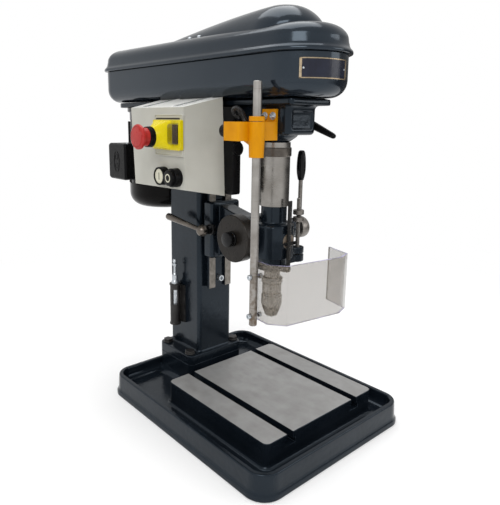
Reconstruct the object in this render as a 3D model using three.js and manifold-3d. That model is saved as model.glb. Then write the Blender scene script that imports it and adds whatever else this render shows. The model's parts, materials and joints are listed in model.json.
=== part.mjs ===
// Benchtop drill press with a sliding head arm, in millimetres, +Z up.
// The origin is the middle of the foot on the bench. The operator stands at -Y, with +X to their right.
import * as THREE from 'three';
import { mergeVertices } from 'three/addons/utils/BufferGeometryUtils.js';
import Module from 'manifold-3d';

const wasm = await Module();
wasm.setup();

// Clearances: fit lies between touching pieces, over is how far each cut runs past what it cuts
const fit = 0.3;
const over = 1;

// Casting with the foot, the coolant tray, the table and the column seat
const base = {
  width: 343, length: 422, corner: 31, height: 40, wall: 9, lip: 2.2,
  flare: 4.6, footHeight: 7, floorTop: 17, floor: 8, underWall: 14, trayFillet: 13, rib: 10,
};
const table = { width: 261.4, length: 253.5, height: 58.3, gapToColumn: 26.8, corner: 10, edge: 0.8, wall: 14, fillet: 7 };
const slot = { spacing: 159, neck: 14, neckDepth: 11, head: 24, headDepth: 9, roof: 8 };

// Column with its foot flange and the slideway for the arm
const column = { y: 153.6, width: 81, depth: 96.6, corner: 8, wall: 7, top: 501.2, cove: 5 };
const flange = { beyondBolts: 11, depth: 108, corner: 12, thickness: 18, seatFlare: 15 };
const columnBolt = {
  across: 17, headHeight: 4.6, shank: 10, washer: 20, washerHeight: 1.8, clear: 4.5, fromEdge: 16.5, depth: 34,
};
const slideway = { width: 53, root: 42, depth: 14.3, lip: 6, bottom: 209, top: 478, groove: 19, grooveDepth: 5 };
const stopScrew = { head: 12, headHeight: 9, shank: 6, height: 226, hex: 6, hexDepth: 4 };

// Spindle axis and the quill with its rack
const spindleY = -48.8;
const quill = { radius: 20, bore: 9.4, bottom: 291, top: 432 };
const gear = { module: 1.75, teeth: 19, addendum: 1.4, dedendum: 2.05, toothShare: 0.43, tipShare: 0.55, width: 15 };
const rack = { depthInQuill: 1.75, bottom: 313, teeth: 14 };
const spindle = { radius: 8.5, journal: 9.1, sunk: 1, nose: 6.5, tip: 236 };
const bearing = { radius: 15.5, width: 12, lift: 3 };

// Sliding arm that carries the quill
const arm = {
  bottom: 272, top: 378, plateBack: 102, plateFront: 74, plateWidth: 68, corner: 6,
  webWidth: 34, webTop: 353, hubRadius: 35, hubFlat: 32.4, hubBottom: 298.4, hubTop: 357, hubEdge: 4,
  neckRadius: 21.7, neckTop: 443, axis: 330, gearBoss: 36, gearBossWidth: 84, shaftBoss: 16, shaftBossEnd: 87,
};
const springHousing = { radius: 40, length: 20, wall: 3, bore: 9 };
const returnSpring = { turns: 3, thickness: 1.2, width: 10, steps: 12 };
const pinion = { radius: 8, collar: 13, collarWidth: 4, knob: 12.5, knobWidth: 9, edge: 1.5 };
const leverHub = { radius: 19.5, length: 20, from: 93.4, edge: 4 };
const feedLever = { radius: 3.8, length: 142, gripLength: 54, grip: 8.4, gripEnd: 4.4 };
const pointerBoss = { radius: 12.5, depth: 2.4 };

// Clamp that locks the arm on the slideway
const clamp = {
  y: 70, hub: 10.5, hubLength: 17, stud: 5, ball: 10.8, handleThin: 4, handleThick: 6.6, length: 102.5, lean: 4, rise: 7.6,
};

// Collar on the quill with the depth rod and the scale
const collar = { radius: 28, height: 20, top: 297.6, flangeHeight: 7, waist: 25 };
const lug = { width: 24, depth: 20, height: 12, rodX: 45.6, rodY: -63, corner: 9.5, bridge: 13 };
const depthRod = { radius: 3.6, top: 395 };
const depthNut = { radius: 9.4, height: 8, lowerAt: 355, gap: 4 };
const scale = { x: -0.8, width: 8.4, thickness: 2.2, top: 397, standOff: 1.2, foot: 8 };

// Keyless chuck
const chuck = {
  nose: 13.7, noseHeight: 13, ring: 18, ringHeight: 9, body: 16.4, bodyHeight: 18, top: 275,
  core: 12.6, coreBore: 6.4, coreTip: 8.2, sleeve: 17.7, sleeveBottom: 193, coneHeight: 14, mouth: 10.2, edge: 1.2,
};
const jaw = { radius: 2.7, length: 30, lean: 9, tipGap: 0.35, bottom: 190, travel: 7 };

// Fixed head on the column
const head = {
  bottom: 501.8, width: 70, front: -106, top: 547, corner: 12, round: 6, fillet: 6,
  plateWidth: 92, plateFront: -124, plateThickness: 9.5, padHeight: 1.2, padInset: 6,
  noseRadius: 34.5, noseEnd: 22, noseBottom: 490, bore: 16.5, panelWidth: 46, panelHeight: 27, panelDepth: 3,
  ribThickness: 14, ribDrop: 478,
};
const motorPlate = { width: 134, front: 208, back: 351, corner: 16, hole: 20 };
const sleeve = { radius: 24.4, wall: 2.4, bottom: 385.6 };
const sleeveNut = { radius: 26.2, bottom: 466.9, height: 14.6, edge: 1 };
const tensionLever = {
  y: -70, z: 524, hub: 12.5, hubLength: 18, stud: 5, thick: 7.2, thin: 4.2, length: 69, droop: 21, edge: 1.5,
};

// Belt case, its lid and the drive inside
const beltCase = {
  nose: 69, noseY: -99.5, tail: 37, tailWidth: 164, back: 388, height: 61.5, wall: 4, round: 25,
};
const lid = { height: 43.5, bead: 6.5, beadHeight: 7, waist: 2.5, shoulder: 24, shoulderWidth: 34, crown: 2.5 };
const hump = { front: 60, frontY: -62, rear: 24, rearY: 240, height: 34, tailHeight: 9 };
const lidHinge = { radius: 5.5, pin: 2.5, width: 28, leaf: 11, standOff: 7 };
const motor = { y: 278, radius: 74, ribs: 12, ribDepth: 3.5, bottom: 395, shoulder: 520, collar: 70, flangeHeight: 8 };
const cowl = { radius: 73, bottom: 347, round: 28, wall: 2.5, ventInner: 16, ventOuter: 40, vents: 6, ventShare: 0.55 };
const motorShaft = { radius: 7, stand: 4, bottom: 498 };
const terminalBox = { depth: 39, width: 66, bottom: 407, height: 70.5, corner: 6 };
const pulley = {
  steps: [28, 37, 46, 55], stepHeight: 16, lift: 15, groove: 6.2, grooveRoot: 6, sleeve: 13, sleeveLength: 76,
};
const belt = { step: 1, thickness: 5.4, slack: 2 };

// Control box on the column's left side, seen by someone who faces it
const backBox = { thickness: 16.9, width: 184.5, centreY: 82.9, bottom: 402.2, height: 142.8, corner: 4 };
const box = {
  centreY: 101.5, bottom: 402, height: 154, width: 189, rimDepth: 22, depth: 74, draft: 11, corner: 7, wall: 3,
};
const button = {
  startAt: 21, stopAt: 57.5, height: 431.5, bezel: 14.5, bezelDepth: 11.5, cap: 12.6, travel: 4,
  startStand: -1, stopStand: 6.5, pocket: 12,
};
const stop = { at: 21.5, height: 496, head: 20, headDepth: 12, neck: 13.4, neckDepth: 8, collar: 15.6, collarDepth: 7, travel: 6 };
const flap = {
  at: 41.5, middle: 500, width: 80, height: 50, depth: 6, corner: 3, panelAt: 38.5, panelWidth: 84, panelHeight: 66, panelDepth: 2,
  towerAt: 30.5, towerWidth: 58, towerHeight: 47, towerRise: 17.5, towerCorner: 6, wall: 2.5,
  windowAt: 69.5, windowWidth: 20, windowHeight: 35, windowDepth: 3, windowRise: 5,
};

// Chuck guard on its rod
const guardRod = { x: -87, y: -95, radius: 6.3, bottom: 209.5, top: 579 };
const guardBracket = {
  left: -117, front: -88.5, back: -53, bottom: 494, top: 521.5, plate: 4.6, plateBack: -57, plateTop: 541, corner: 4,
  hub: 12.5, hubFoot: 11, hubBottom: 470, gusset: 11, gussetWidth: 12,
};
const guardCollar = { radius: 13.5, height: 9, bottom: 522.2 };
const thumbScrew = { radius: 4.6, length: 12, shank: 2.4, turn: 35, edge: 1 };
const shield = { thickness: 3, bottom: 218, height: 94, side: 34, chamfer: 20, front: 106.7, farChamfer: 23.5, farRise: 12.3, farSide: 48, flare: 7, swing: 8 };
const guardBolt = { head: 8.4, headHeight: 4, shank: 2.4, low: 225, high: 288, nut: 9, nutHeight: 4.4 };
const guardSwitch = { radius: 11, length: 30, x: -103, z: 508 };
const cable = { radius: 3.4, bore: 2.4, ribHeight: 0.8, ribs: 18, boreStep: 6, arch: 9.5, drop: 4, inset: 46, foot: 15.5 };
const gland = { radius: 7.6, length: 9, sides: 6, fromTop: 15 };

// Tool holder on the column's left side with the tool that stands in it
const holder = {
  radius: 10, bore: 7.6, bottom: 122.4, height: 85, behind: 13.4, standOff: 12.4, plate: 3, plateWidth: 36, ring: 11.2, ringHeight: 4,
  floor: 5,
};
const tool = { shank: 7.2, stand: 49, flangeRadius: 5.6, neck: 2.6, nipple: 4.2, sunk: 60 };

// Paint and metal
const paint = new THREE.MeshStandardMaterial({ color: 0x2b3036, roughness: 0.28, metalness: 0.1 });
const darkPlastic = new THREE.MeshStandardMaterial({ color: 0x141516, roughness: 0.5, metalness: 0 });
const ground = new THREE.MeshStandardMaterial({ color: 0xa3a19c, roughness: 0.35, metalness: 0.9 });
const darkSteel = new THREE.MeshStandardMaterial({ color: 0x5d5a56, roughness: 0.4, metalness: 0.85 });
const zinc = new THREE.MeshStandardMaterial({ color: 0xc8ccd0, roughness: 0.3, metalness: 0.9 });
const orange = new THREE.MeshStandardMaterial({ color: 0xf0a000, roughness: 0.4, metalness: 0 });
const grey = new THREE.MeshStandardMaterial({ color: 0xc3c2b8, roughness: 0.45, metalness: 0 });
const red = new THREE.MeshStandardMaterial({ color: 0xc8241f, roughness: 0.35, metalness: 0 });
const yellow = new THREE.MeshStandardMaterial({ color: 0xf2dc00, roughness: 0.35, metalness: 0 });
const white = new THREE.MeshStandardMaterial({ color: 0xe6e3d6, roughness: 0.4, metalness: 0 });
const rubber = new THREE.MeshStandardMaterial({ color: 0x1a1a1a, roughness: 0.8, metalness: 0 });
const clear = new THREE.MeshStandardMaterial({ color: 0xd5d3cf, roughness: 0.1, metalness: 0, transparent: true, opacity: 0.35 });
const smoked = new THREE.MeshStandardMaterial({ color: 0x8a6a2a, roughness: 0.1, metalness: 0, transparent: true, opacity: 0.6 });

// Steps round a full circle for large, middling and small round pieces
const fine = 28;
const medium = 16;
const coarse = 10;
const plain = 12;
const cornerSteps = 3;
const plainSteps = 5;
const rollSteps = 4;
const filletSteps = 3;

// Derived places
const rimTop = base.height;
const columnY = column.y;
const columnFront = columnY - column.depth / 2;
const flangeBottom = table.height;
const boltSpan = column.width + columnBolt.washer + columnBolt.clear * 2;
const flangeWidth = boltSpan + flange.beyondBolts * 2;
const tableY = columnFront - table.gapToColumn - table.length / 2;
const slideFront = columnFront - slideway.depth;
const pitchRadius = (gear.module * gear.teeth) / 2;
const pitch = Math.PI * gear.module;
const rackLine = quill.radius - rack.depthInQuill;
const pinionY = spindleY + rackLine + pitchRadius;
const headPlateTop = head.top + head.plateThickness;
const padTop = headPlateTop + head.padHeight;
const boxSide = column.width / 2 + fit;
const faceAt = backBox.thickness + fit + box.depth;
const caseBottom = padTop + fit;
const caseSeam = caseBottom + beltCase.height;
const lidTop = caseSeam + lid.height;
const pulleyBottom = caseBottom + pulley.lift;
const pulleyTop = pulleyBottom + pulley.steps.length * pulley.stepHeight;
const sleeveFoot = pulleyBottom - pulley.sleeveLength;
const holderY = columnY + holder.behind;
const flangeTop = flangeBottom + flange.thickness;

// Closed surface with merged corners and its faces turned outward
function closed(geometry) {
  geometry.deleteAttribute('normal');
  geometry.deleteAttribute('uv');
  const merged = mergeVertices(geometry);
  const place = merged.getAttribute('position');
  const corners = Array.from(merged.index.array);
  const kept = [];
  const a = new THREE.Vector3();
  const b = new THREE.Vector3();
  const c = new THREE.Vector3();
  let volume = 0;
  for (let i = 0; i < corners.length; i += 3) {
    const [p, q, r] = corners.slice(i, i + 3);
    if (p === q || q === r || r === p) continue;
    kept.push(p, q, r);
    a.fromBufferAttribute(place, p);
    b.fromBufferAttribute(place, q);
    c.fromBufferAttribute(place, r);
    volume += a.dot(b.cross(c));
  }
  merged.setIndex(volume < 0 ? kept.reverse() : kept);
  return merged;
}

function solid(geometry) {
  const source = closed(geometry);
  const vertProperties = new Float32Array(source.getAttribute('position').array);
  const triVerts = new Uint32Array(source.index.array);
  return new wasm.Manifold(new wasm.Mesh({ numProp: 3, vertProperties, triVerts }));
}

function surface(body) {
  const mesh = body.getMesh();
  const geometry = new THREE.BufferGeometry();
  geometry.setAttribute('position', new THREE.BufferAttribute(new Float32Array(mesh.vertProperties), 3));
  geometry.setIndex(Array.from(mesh.triVerts));
  return geometry;
}

function join(first, ...others) {
  const start = solid(first);
  return surface(others.reduce((body, other) => body.add(solid(other)), start));
}

function cut(first, ...others) {
  const start = solid(first);
  return surface(others.reduce((body, other) => body.subtract(solid(other)), start));
}

function common(first, other) {
  return surface(solid(first).intersect(solid(other)));
}

function piece(name, geometry, material) {
  const mesh = new THREE.Mesh(closed(geometry), material);
  mesh.name = name;
  return mesh;
}

// Basic forms
function block(x0, x1, y0, y1, z0, z1) {
  const geometry = new THREE.BoxGeometry(x1 - x0, y1 - y0, z1 - z0);
  return geometry.translate((x0 + x1) / 2, (y0 + y1) / 2, (z0 + z1) / 2);
}

function bar(radius, low, high, sides = medium, topRadius = radius) {
  const geometry = new THREE.CylinderGeometry(topRadius, radius, high - low, sides);
  geometry.rotateX(Math.PI / 2);
  return geometry.translate(0, 0, (low + high) / 2);
}

function turned(profile, sides = medium) {
  const points = profile.map(([radius, height]) => new THREE.Vector2(radius, height));
  return closed(new THREE.LatheGeometry(points, sides).rotateX(Math.PI / 2));
}

function ring(inner, outer, low, high, sides = medium) {
  return turned([[inner, low], [outer, low], [outer, high], [inner, high], [inner, low]], sides);
}

function prism(points, depth) {
  const shape = new THREE.Shape(points.map(([x, y]) => new THREE.Vector2(x, y)));
  return new THREE.ExtrudeGeometry(shape, { depth, steps: 1, bevelEnabled: false });
}

const alongX = (geometry) => geometry.rotateY(Math.PI / 2);
const alongY = (geometry) => geometry.rotateX(-Math.PI / 2);

// Outline round a convex set of circles, grown by an offset
function outline(circles, grow = 0, steps = cornerSteps) {
  const normals = circles.map((circle, i) => {
    const next = circles[(i + 1) % circles.length];
    const heading = Math.atan2(next.y - circle.y, next.x - circle.x);
    const distance = Math.hypot(next.x - circle.x, next.y - circle.y);
    return heading - Math.acos((circle.r - next.r) / distance);
  });
  return circles.flatMap((circle, i) => {
    const from = normals[(i + circles.length - 1) % circles.length];
    const turn = THREE.MathUtils.euclideanModulo(normals[i] - from, 2 * Math.PI);
    return Array.from({ length: steps + 1 }, (_, k) => {
      const angle = from + (turn * k) / steps;
      return [circle.x + (circle.r + grow) * Math.cos(angle), circle.y + (circle.r + grow) * Math.sin(angle)];
    });
  });
}

function roundedRectangle(width, depth, radius, x = 0, y = 0) {
  const a = width / 2 - radius;
  const b = depth / 2 - radius;
  return [[-a, -b], [a, -b], [a, b], [-a, b]].map(([dx, dy]) => ({ x: x + dx, y: y + dy, r: radius }));
}

// Solid through rings of equal point counts, each point [x, y, z]
function skin(rings) {
  const count = rings[0].length;
  const middle = (points) => [0, 1, 2].map((k) => points.reduce((sum, point) => sum + point[k], 0) / count);
  const places = rings.flat().concat([middle(rings[0]), middle(rings.at(-1))]);
  const faces = [];
  const last = (rings.length - 1) * count;
  for (let j = 0; j < count; j += 1) {
    const k = (j + 1) % count;
    for (let i = 0; i < last; i += count) {
      faces.push(i + j, i + k, i + count + k, i + j, i + count + k, i + count + j);
    }
    faces.push(rings.length * count, k, j, rings.length * count + 1, last + j, last + k);
  }
  const geometry = new THREE.BufferGeometry();
  geometry.setAttribute('position', new THREE.Float32BufferAttribute(places.flat(), 3));
  geometry.setIndex(faces);
  return closed(geometry);
}

// Outline lofted through levels of [height, growth]
function loft(circles, levels, steps = cornerSteps) {
  return skin(levels.map(([z, grow]) => outline(circles, grow, steps).map(([x, y]) => [x, y, z])));
}

// Rounded box lofted through levels of [height, growth], its corner radius kept
function tapered(width, depth, radius, [x, y], levels) {
  return skin(levels.map(([z, grow]) => (
    outline(roundedRectangle(width + grow * 2, depth + grow * 2, radius, x, y)).map(([px, py]) => [px, py, z])
  )));
}

// Closed band through rails of equal point counts
function hoop(rails) {
  const count = rails[0].length;
  const faces = [];
  rails.forEach((_, i) => {
    const here = i * count;
    const there = ((i + 1) % rails.length) * count;
    for (let j = 0; j < count; j += 1) {
      const k = (j + 1) % count;
      faces.push(here + j, here + k, there + k, here + j, there + k, there + j);
    }
  });
  const geometry = new THREE.BufferGeometry();
  geometry.setAttribute('position', new THREE.Float32BufferAttribute(rails.flat(2), 3));
  geometry.setIndex(faces);
  return closed(geometry);
}

// Quarter circle of a fillet or a rounded edge, as [rise, side] from flat to upright
function quarter(size, steps = filletSteps) {
  return Array.from({ length: steps + 1 }, (_, k) => {
    const angle = (k / steps) * (Math.PI / 2);
    return [size * (1 - Math.cos(angle)), size * (1 - Math.sin(angle))];
  });
}

// Casting with foot, tray, table and column seat
function baseCasting() {
  const plan = roundedRectangle(base.width, base.length, base.corner);
  const shoulderShare = 0.35;
  const shell = loft(plan, [
    [0, base.flare],
    [base.footHeight, base.flare],
    [base.footHeight * 1.5, base.flare * shoulderShare],
    [rimTop - base.lip, 0],
    [rimTop, -base.lip],
  ], plainSteps);
  const tray = loft(plan, [
    ...quarter(base.trayFillet).map(([rise, side]) => [base.floorTop + rise, -base.wall - side]),
    [rimTop + over, -base.wall],
  ], plainSteps);
  const hollow = loft(plan, [
    [-over, -base.underWall],
    [base.floorTop - base.floor, -base.underWall],
  ]);
  const under = table.height - slot.neckDepth - slot.headDepth - slot.roof;
  const tableHollow = tapered(table.width, table.length, table.corner, [0, tableY], [
    [-over, -table.wall],
    [under, -table.wall],
  ]);
  const ribs = [
    block(-base.rib / 2, base.rib / 2, -base.length / 2 + base.wall, base.length / 2 - base.wall, 0, base.floorTop - over),
    block(-base.width / 2 + base.wall, base.width / 2 - base.wall, -base.rib / 2, base.rib / 2, 0, base.floorTop - over * 2),
  ];
  const raised = join(cut(shell, tray), tableBlock(), columnSeat());
  return cut(join(cut(raised, hollow, tableHollow), ...ribs), ...slots(), ...seatHoles());
}

function tableBlock() {
  const plan = roundedRectangle(table.width, table.length, table.corner, 0, tableY);
  return loft(plan, [
    [base.floorTop - over, table.fillet],
    ...quarter(table.fillet).map(([rise, side]) => [base.floorTop + rise, side]),
    [table.height - table.edge, 0],
    [table.height, -table.edge],
  ]);
}

function slots() {
  const from = tableY - table.length / 2 - table.fillet - over;
  const to = tableY + table.length / 2 + table.fillet + over;
  const neckFloor = table.height - slot.neckDepth;
  return [-slot.spacing / 2, slot.spacing / 2].flatMap((x) => [
    block(x - slot.neck / 2, x + slot.neck / 2, from, to, neckFloor - over, table.height + over),
    block(x - slot.head / 2, x + slot.head / 2, from, to, neckFloor - slot.headDepth, neckFloor),
  ]);
}

function columnSeat() {
  const plan = roundedRectangle(flangeWidth, flange.depth, flange.corner, 0, columnY);
  const seat = loft(plan, [
    [base.floorTop - base.floor + over, flange.seatFlare],
    ...quarter(flange.seatFlare).map(([rise, side]) => [base.floorTop + rise, side]),
    [flangeBottom - fit, 0],
  ]);
  const within = loft(roundedRectangle(base.width, base.length, base.corner), [[0, -base.lip - over], [flangeBottom, -base.lip - over]]);
  return common(seat, within);
}

const boltPlaces = [[-1, -1], [1, -1], [-1, 1], [1, 1]].map(([i, j]) => [
  (i * boltSpan) / 2,
  columnY + j * (flange.depth / 2 - columnBolt.fromEdge),
]);

function seatHoles() {
  const bottom = flangeBottom + flange.thickness - columnBolt.depth - over;
  return boltPlaces.map(([x, y]) => bar(columnBolt.shank / 2 + fit, bottom, flangeBottom + over, coarse).translate(x, y, 0));
}

// Column casting: hollow box section, foot flange and T-shaped slideway
function columnCasting() {
  const plan = roundedRectangle(column.width, column.depth, column.corner, 0, columnY);
  const flangePlan = roundedRectangle(flangeWidth, flange.depth, flange.corner, 0, columnY);
  const shaft = loft(plan, [
    [flangeTop - over, column.cove],
    ...quarter(column.cove).map(([rise, side]) => [flangeTop + rise, side]),
    [column.top, 0],
  ]);
  const foot = loft(flangePlan, [
    [flangeBottom, 0],
    [flangeTop - base.lip, 0],
    [flangeTop, -base.lip],
  ]);
  const core = loft(plan, [
    [flangeBottom - over, -column.wall],
    [column.top + over, -column.wall],
  ]);
  const holes = boltPlaces.map(([x, y]) => (
    bar(columnBolt.shank / 2 + fit, flangeBottom - over, flangeTop + over, coarse).translate(x, y, 0)
  ));
  const screwHole = alongY(bar(stopScrew.shank / 2 + fit, 0, slideway.depth + column.wall, coarse));
  screwHole.translate(0, slideFront - over, stopScrew.height);
  return cut(join(shaft, foot, slide()), core, ...holes, groove(), screwHole);
}

function slide() {
  const half = slideway.width / 2;
  const root = slideway.root / 2;
  const points = [
    [-root, columnFront + over], [-root, slideFront + slideway.lip + (half - root)], [-half, slideFront + slideway.lip],
    [-half, slideFront], [half, slideFront], [half, slideFront + slideway.lip],
    [root, slideFront + slideway.lip + (half - root)], [root, columnFront + over],
  ];
  return prism(points, slideway.top - slideway.bottom).translate(0, 0, slideway.bottom);
}

function groove() {
  const half = slideway.groove / 2;
  return block(-half, half, slideFront - over, slideFront + slideway.grooveDepth, slideway.bottom - over, slideway.top + over);
}

function columnBoltAt([x, y], index) {
  const top = flangeBottom + flange.thickness + fit;
  const washer = bar(columnBolt.washer / 2, top, top + columnBolt.washerHeight, medium);
  const hexRadius = columnBolt.across / Math.sqrt(3);
  const hex = bar(hexRadius, top + fit, top + columnBolt.washerHeight + columnBolt.headHeight, 6);
  const shank = bar(columnBolt.shank / 2, top - columnBolt.depth, top + over, coarse);
  const bolt = piece(`column_bolt_${index + 1}`, join(washer, hex, shank), darkSteel);
  bolt.position.set(x, y, 0);
  return bolt;
}

// Cap screw in the slideway that stops the arm's way down
function slideStopScrew() {
  const bottom = slideFront + slideway.grooveDepth - fit;
  const headLength = bar(stopScrew.head / 2, 0, stopScrew.headHeight, coarse);
  const shank = bar(stopScrew.shank / 2, -slideway.depth + slideway.grooveDepth, over, coarse);
  const socket = bar(stopScrew.hex / Math.sqrt(3), stopScrew.headHeight - stopScrew.hexDepth, stopScrew.headHeight + over, 6);
  const screw = piece('slide_stop_screw', cut(join(headLength, shank), socket), zinc);
  screw.rotation.x = Math.PI / 2;
  screw.position.set(0, bottom, stopScrew.height);
  return screw;
}

// Sliding arm: gib plate, web, gear boss, quill hub and the neck that enters the bright sleeve
function headArm() {
  const plate = loft(
    roundedRectangle(arm.plateWidth, arm.plateBack - arm.plateFront, arm.corner, 0, (arm.plateBack + arm.plateFront) / 2),
    [[arm.bottom, -arm.corner / 2], [arm.bottom + arm.corner / 2, 0], [arm.top - arm.corner / 2, 0], [arm.top, -arm.corner / 2]],
  );
  const hubPlan = [{ x: 0, y: spindleY, r: arm.hubRadius }, { x: 0, y: spindleY + over, r: arm.hubRadius }];
  const hub = loft(hubPlan, [
    [arm.hubBottom, 0], [arm.hubTop - arm.hubEdge, 0], [arm.hubTop, -arm.hubEdge],
  ], medium / 2);
  const flat = block(
    -arm.hubRadius, arm.hubRadius, spindleY - arm.hubRadius - over, spindleY - arm.hubFlat, arm.hubBottom - over, arm.hubTop + over,
  );
  const neck = bar(arm.neckRadius, arm.hubTop - over, arm.neckTop, fine).translate(0, spindleY, 0);
  const shaftBoss = alongX(bar(arm.shaftBoss, 0, arm.shaftBossEnd, medium)).translate(0, pinionY, arm.axis);
  const whole = join(cut(hub, flat), pointerBossForm(), neck, plate, web(), gearBossForm(), shaftBoss, armLug());
  return cut(whole, ...armBores(), slideChannel());
}

// Round boss for the pinion, clear of the bright sleeve over it and of the quill's collar under it
function gearBossForm() {
  const boss = alongX(bar(arm.gearBoss, -arm.gearBossWidth / 2, arm.gearBossWidth / 2, fine)).translate(0, pinionY, arm.axis);
  const sleeveRoom = bar(sleeve.radius + over, arm.hubTop, arm.axis + arm.gearBoss + over, medium).translate(0, spindleY, 0);
  const collarRoom = bar(collar.radius + over, arm.axis - arm.gearBoss - over, arm.hubBottom, medium).translate(0, spindleY, 0);
  return cut(boss, sleeveRoom, collarRoom);
}

function web() {
  const half = arm.webWidth / 2;
  const plateReach = arm.plateFront + over;
  const profile = new THREE.Shape();
  profile.moveTo(spindleY, arm.webTop);
  profile.bezierCurveTo(
    pinionY, arm.webTop, (pinionY + plateReach) / 2, arm.webTop + arm.corner, plateReach, arm.top - arm.corner,
  );
  profile.lineTo(plateReach, arm.bottom + arm.corner);
  profile.bezierCurveTo(
    (pinionY + plateReach) / 2, arm.bottom + arm.corner, pinionY, arm.hubBottom + over, spindleY + arm.hubRadius - over, arm.hubBottom + over,
  );
  profile.lineTo(spindleY, arm.hubBottom + over);
  const form = new THREE.ExtrudeGeometry(profile, { depth: arm.webWidth, steps: 1, bevelEnabled: false, curveSegments: 6 });
  form.rotateX(Math.PI / 2);
  form.rotateZ(Math.PI / 2);
  return form.translate(-half, 0, 0);
}

function armLug() {
  const low = collar.top + fit + over;
  const plan = roundedRectangle(lug.width, lug.depth, lug.corner, lug.rodX, lug.rodY);
  const bridge = block(0, lug.rodX, lug.rodY - lug.bridge / 2, lug.rodY + lug.bridge / 2, low, low + lug.height);
  return join(loft(plan, [[low, 0], [low + lug.height, 0]]), bridge);
}

function armBores() {
  const quillBore = bar(quill.radius + fit, arm.bottom - over, arm.neckTop + over, fine).translate(0, spindleY, 0);
  const gearRoom = alongX(bar(pitchRadius + gear.addendum + fit * 2, -gear.width / 2 - fit, gear.width / 2 + fit, fine));
  gearRoom.translate(0, pinionY, arm.axis);
  const rackRoom = block(
    -gear.width / 2 - fit, gear.width / 2 + fit, spindleY, spindleY + rackLine + gear.addendum + fit * 2,
    arm.hubBottom - over, arm.neckTop + over,
  );
  const shaftBore = alongX(bar(pinion.radius + fit, -arm.gearBossWidth / 2 - over, arm.shaftBossEnd + over, medium));
  shaftBore.translate(0, pinionY, arm.axis);
  const rodHole = bar(depthRod.radius + fit, arm.hubBottom - over, arm.top, coarse).translate(lug.rodX, lug.rodY, 0);
  const studHole = alongX(bar(clamp.stud + fit, -arm.plateWidth / 2 - over, -slideway.width / 2, coarse));
  studHole.translate(0, clamp.y + (arm.plateFront - clamp.y) * 2, arm.axis);
  return [quillBore, gearRoom, rackRoom, shaftBore, rodHole, studHole];
}

function slideChannel() {
  const half = slideway.width / 2 + fit;
  const root = slideway.root / 2 + fit;
  const front = slideFront - fit;
  const points = [
    [-half, front], [half, front], [half, slideFront + slideway.lip + fit],
    [root, slideFront + slideway.lip + (half - root) + fit], [root, arm.plateBack + over],
    [-root, arm.plateBack + over], [-root, slideFront + slideway.lip + (half - root) + fit],
    [-half, slideFront + slideway.lip + fit],
  ];
  return prism(points, arm.top - arm.bottom + over * 2).translate(0, 0, arm.bottom - over);
}

// Round boss on the flat of the quill hub, behind the scale
function pointerBossForm() {
  const disc = alongY(bar(pointerBoss.radius, 0, pointerBoss.depth + over, medium));
  return disc.translate(0, spindleY - arm.hubFlat - pointerBoss.depth, arm.axis);
}

// Return spring and its housing on the left end of the pinion shaft
const housingInner = arm.gearBossWidth / 2 + fit;

function springDrum() {
  const { radius, length, wall, bore } = springHousing;
  const profile = [
    [bore, 0], [radius - wall, 0], [radius, wall], [radius, length], [radius - wall, length],
    [radius - wall, wall * 2], [radius - wall * 2, wall], [bore, wall], [bore, 0],
  ];
  const drum = piece('spring_housing', turned(profile, fine), paint);
  drum.rotation.y = Math.PI / 2;
  drum.position.set(-housingInner - length, pinionY, arm.axis);
  return drum;
}

function clockSpring() {
  const { turns, thickness, steps, width } = returnSpring;
  const inner = pinion.radius + fit * 2;
  const outer = springHousing.radius - springHousing.wall - fit * 2 - thickness;
  const count = turns * steps;
  const spiral = (offset) => Array.from({ length: count + 1 }, (_, i) => {
    const angle = (i / steps) * 2 * Math.PI;
    const radius = inner + ((outer - inner) * i) / count + offset;
    return [radius * Math.cos(angle), radius * Math.sin(angle)];
  });
  const strip = prism([...spiral(0), ...spiral(thickness).reverse()], width);
  const spring = piece('return_spring', strip, darkSteel);
  spring.rotation.y = Math.PI / 2;
  spring.position.set(-housingInner - springHousing.length + springHousing.wall * 2 + fit, pinionY, arm.axis);
  return spring;
}

// Pinion shaft with its teeth and the collar and knob at its left end
function pinionShaft() {
  const left = -housingInner - springHousing.length - fit;
  const right = leverHub.from + leverHub.length / 2;
  const shaft = turned([
    [0, left - pinion.collarWidth - pinion.knobWidth],
    [pinion.knob - pinion.edge, left - pinion.collarWidth - pinion.knobWidth],
    [pinion.knob, left - pinion.collarWidth - pinion.knobWidth + pinion.edge],
    [pinion.knob, left - pinion.collarWidth - pinion.edge],
    [pinion.knob - pinion.edge, left - pinion.collarWidth],
    [pinion.collar, left - pinion.collarWidth + pinion.edge],
    [pinion.collar, left],
    [pinion.radius, left],
    [pinion.radius, right],
    [0, right],
  ]);
  const teeth = gearWheel().translate(0, 0, -gear.width / 2);
  const part = piece('pinion_shaft', join(shaft, teeth), darkSteel);
  part.rotation.y = Math.PI / 2;
  part.position.set(0, pinionY, arm.axis);
  return part;
}

function gearWheel() {
  const tip = pitchRadius + gear.addendum;
  const root = pitchRadius - gear.dedendum;
  const step = (2 * Math.PI) / gear.teeth;
  const halfTip = (step * gear.toothShare * gear.tipShare) / 2;
  const halfRoot = (step * gear.toothShare * (2 - gear.tipShare)) / 2;
  const points = Array.from({ length: gear.teeth }, (_, i) => i * step - Math.PI / 2).flatMap((angle) => [
    [root, angle - halfRoot], [tip, angle - halfTip], [tip, angle + halfTip], [root, angle + halfRoot],
  ]);
  return prism(points.map(([radius, angle]) => [radius * Math.cos(angle), radius * Math.sin(angle)]), gear.width);
}

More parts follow.
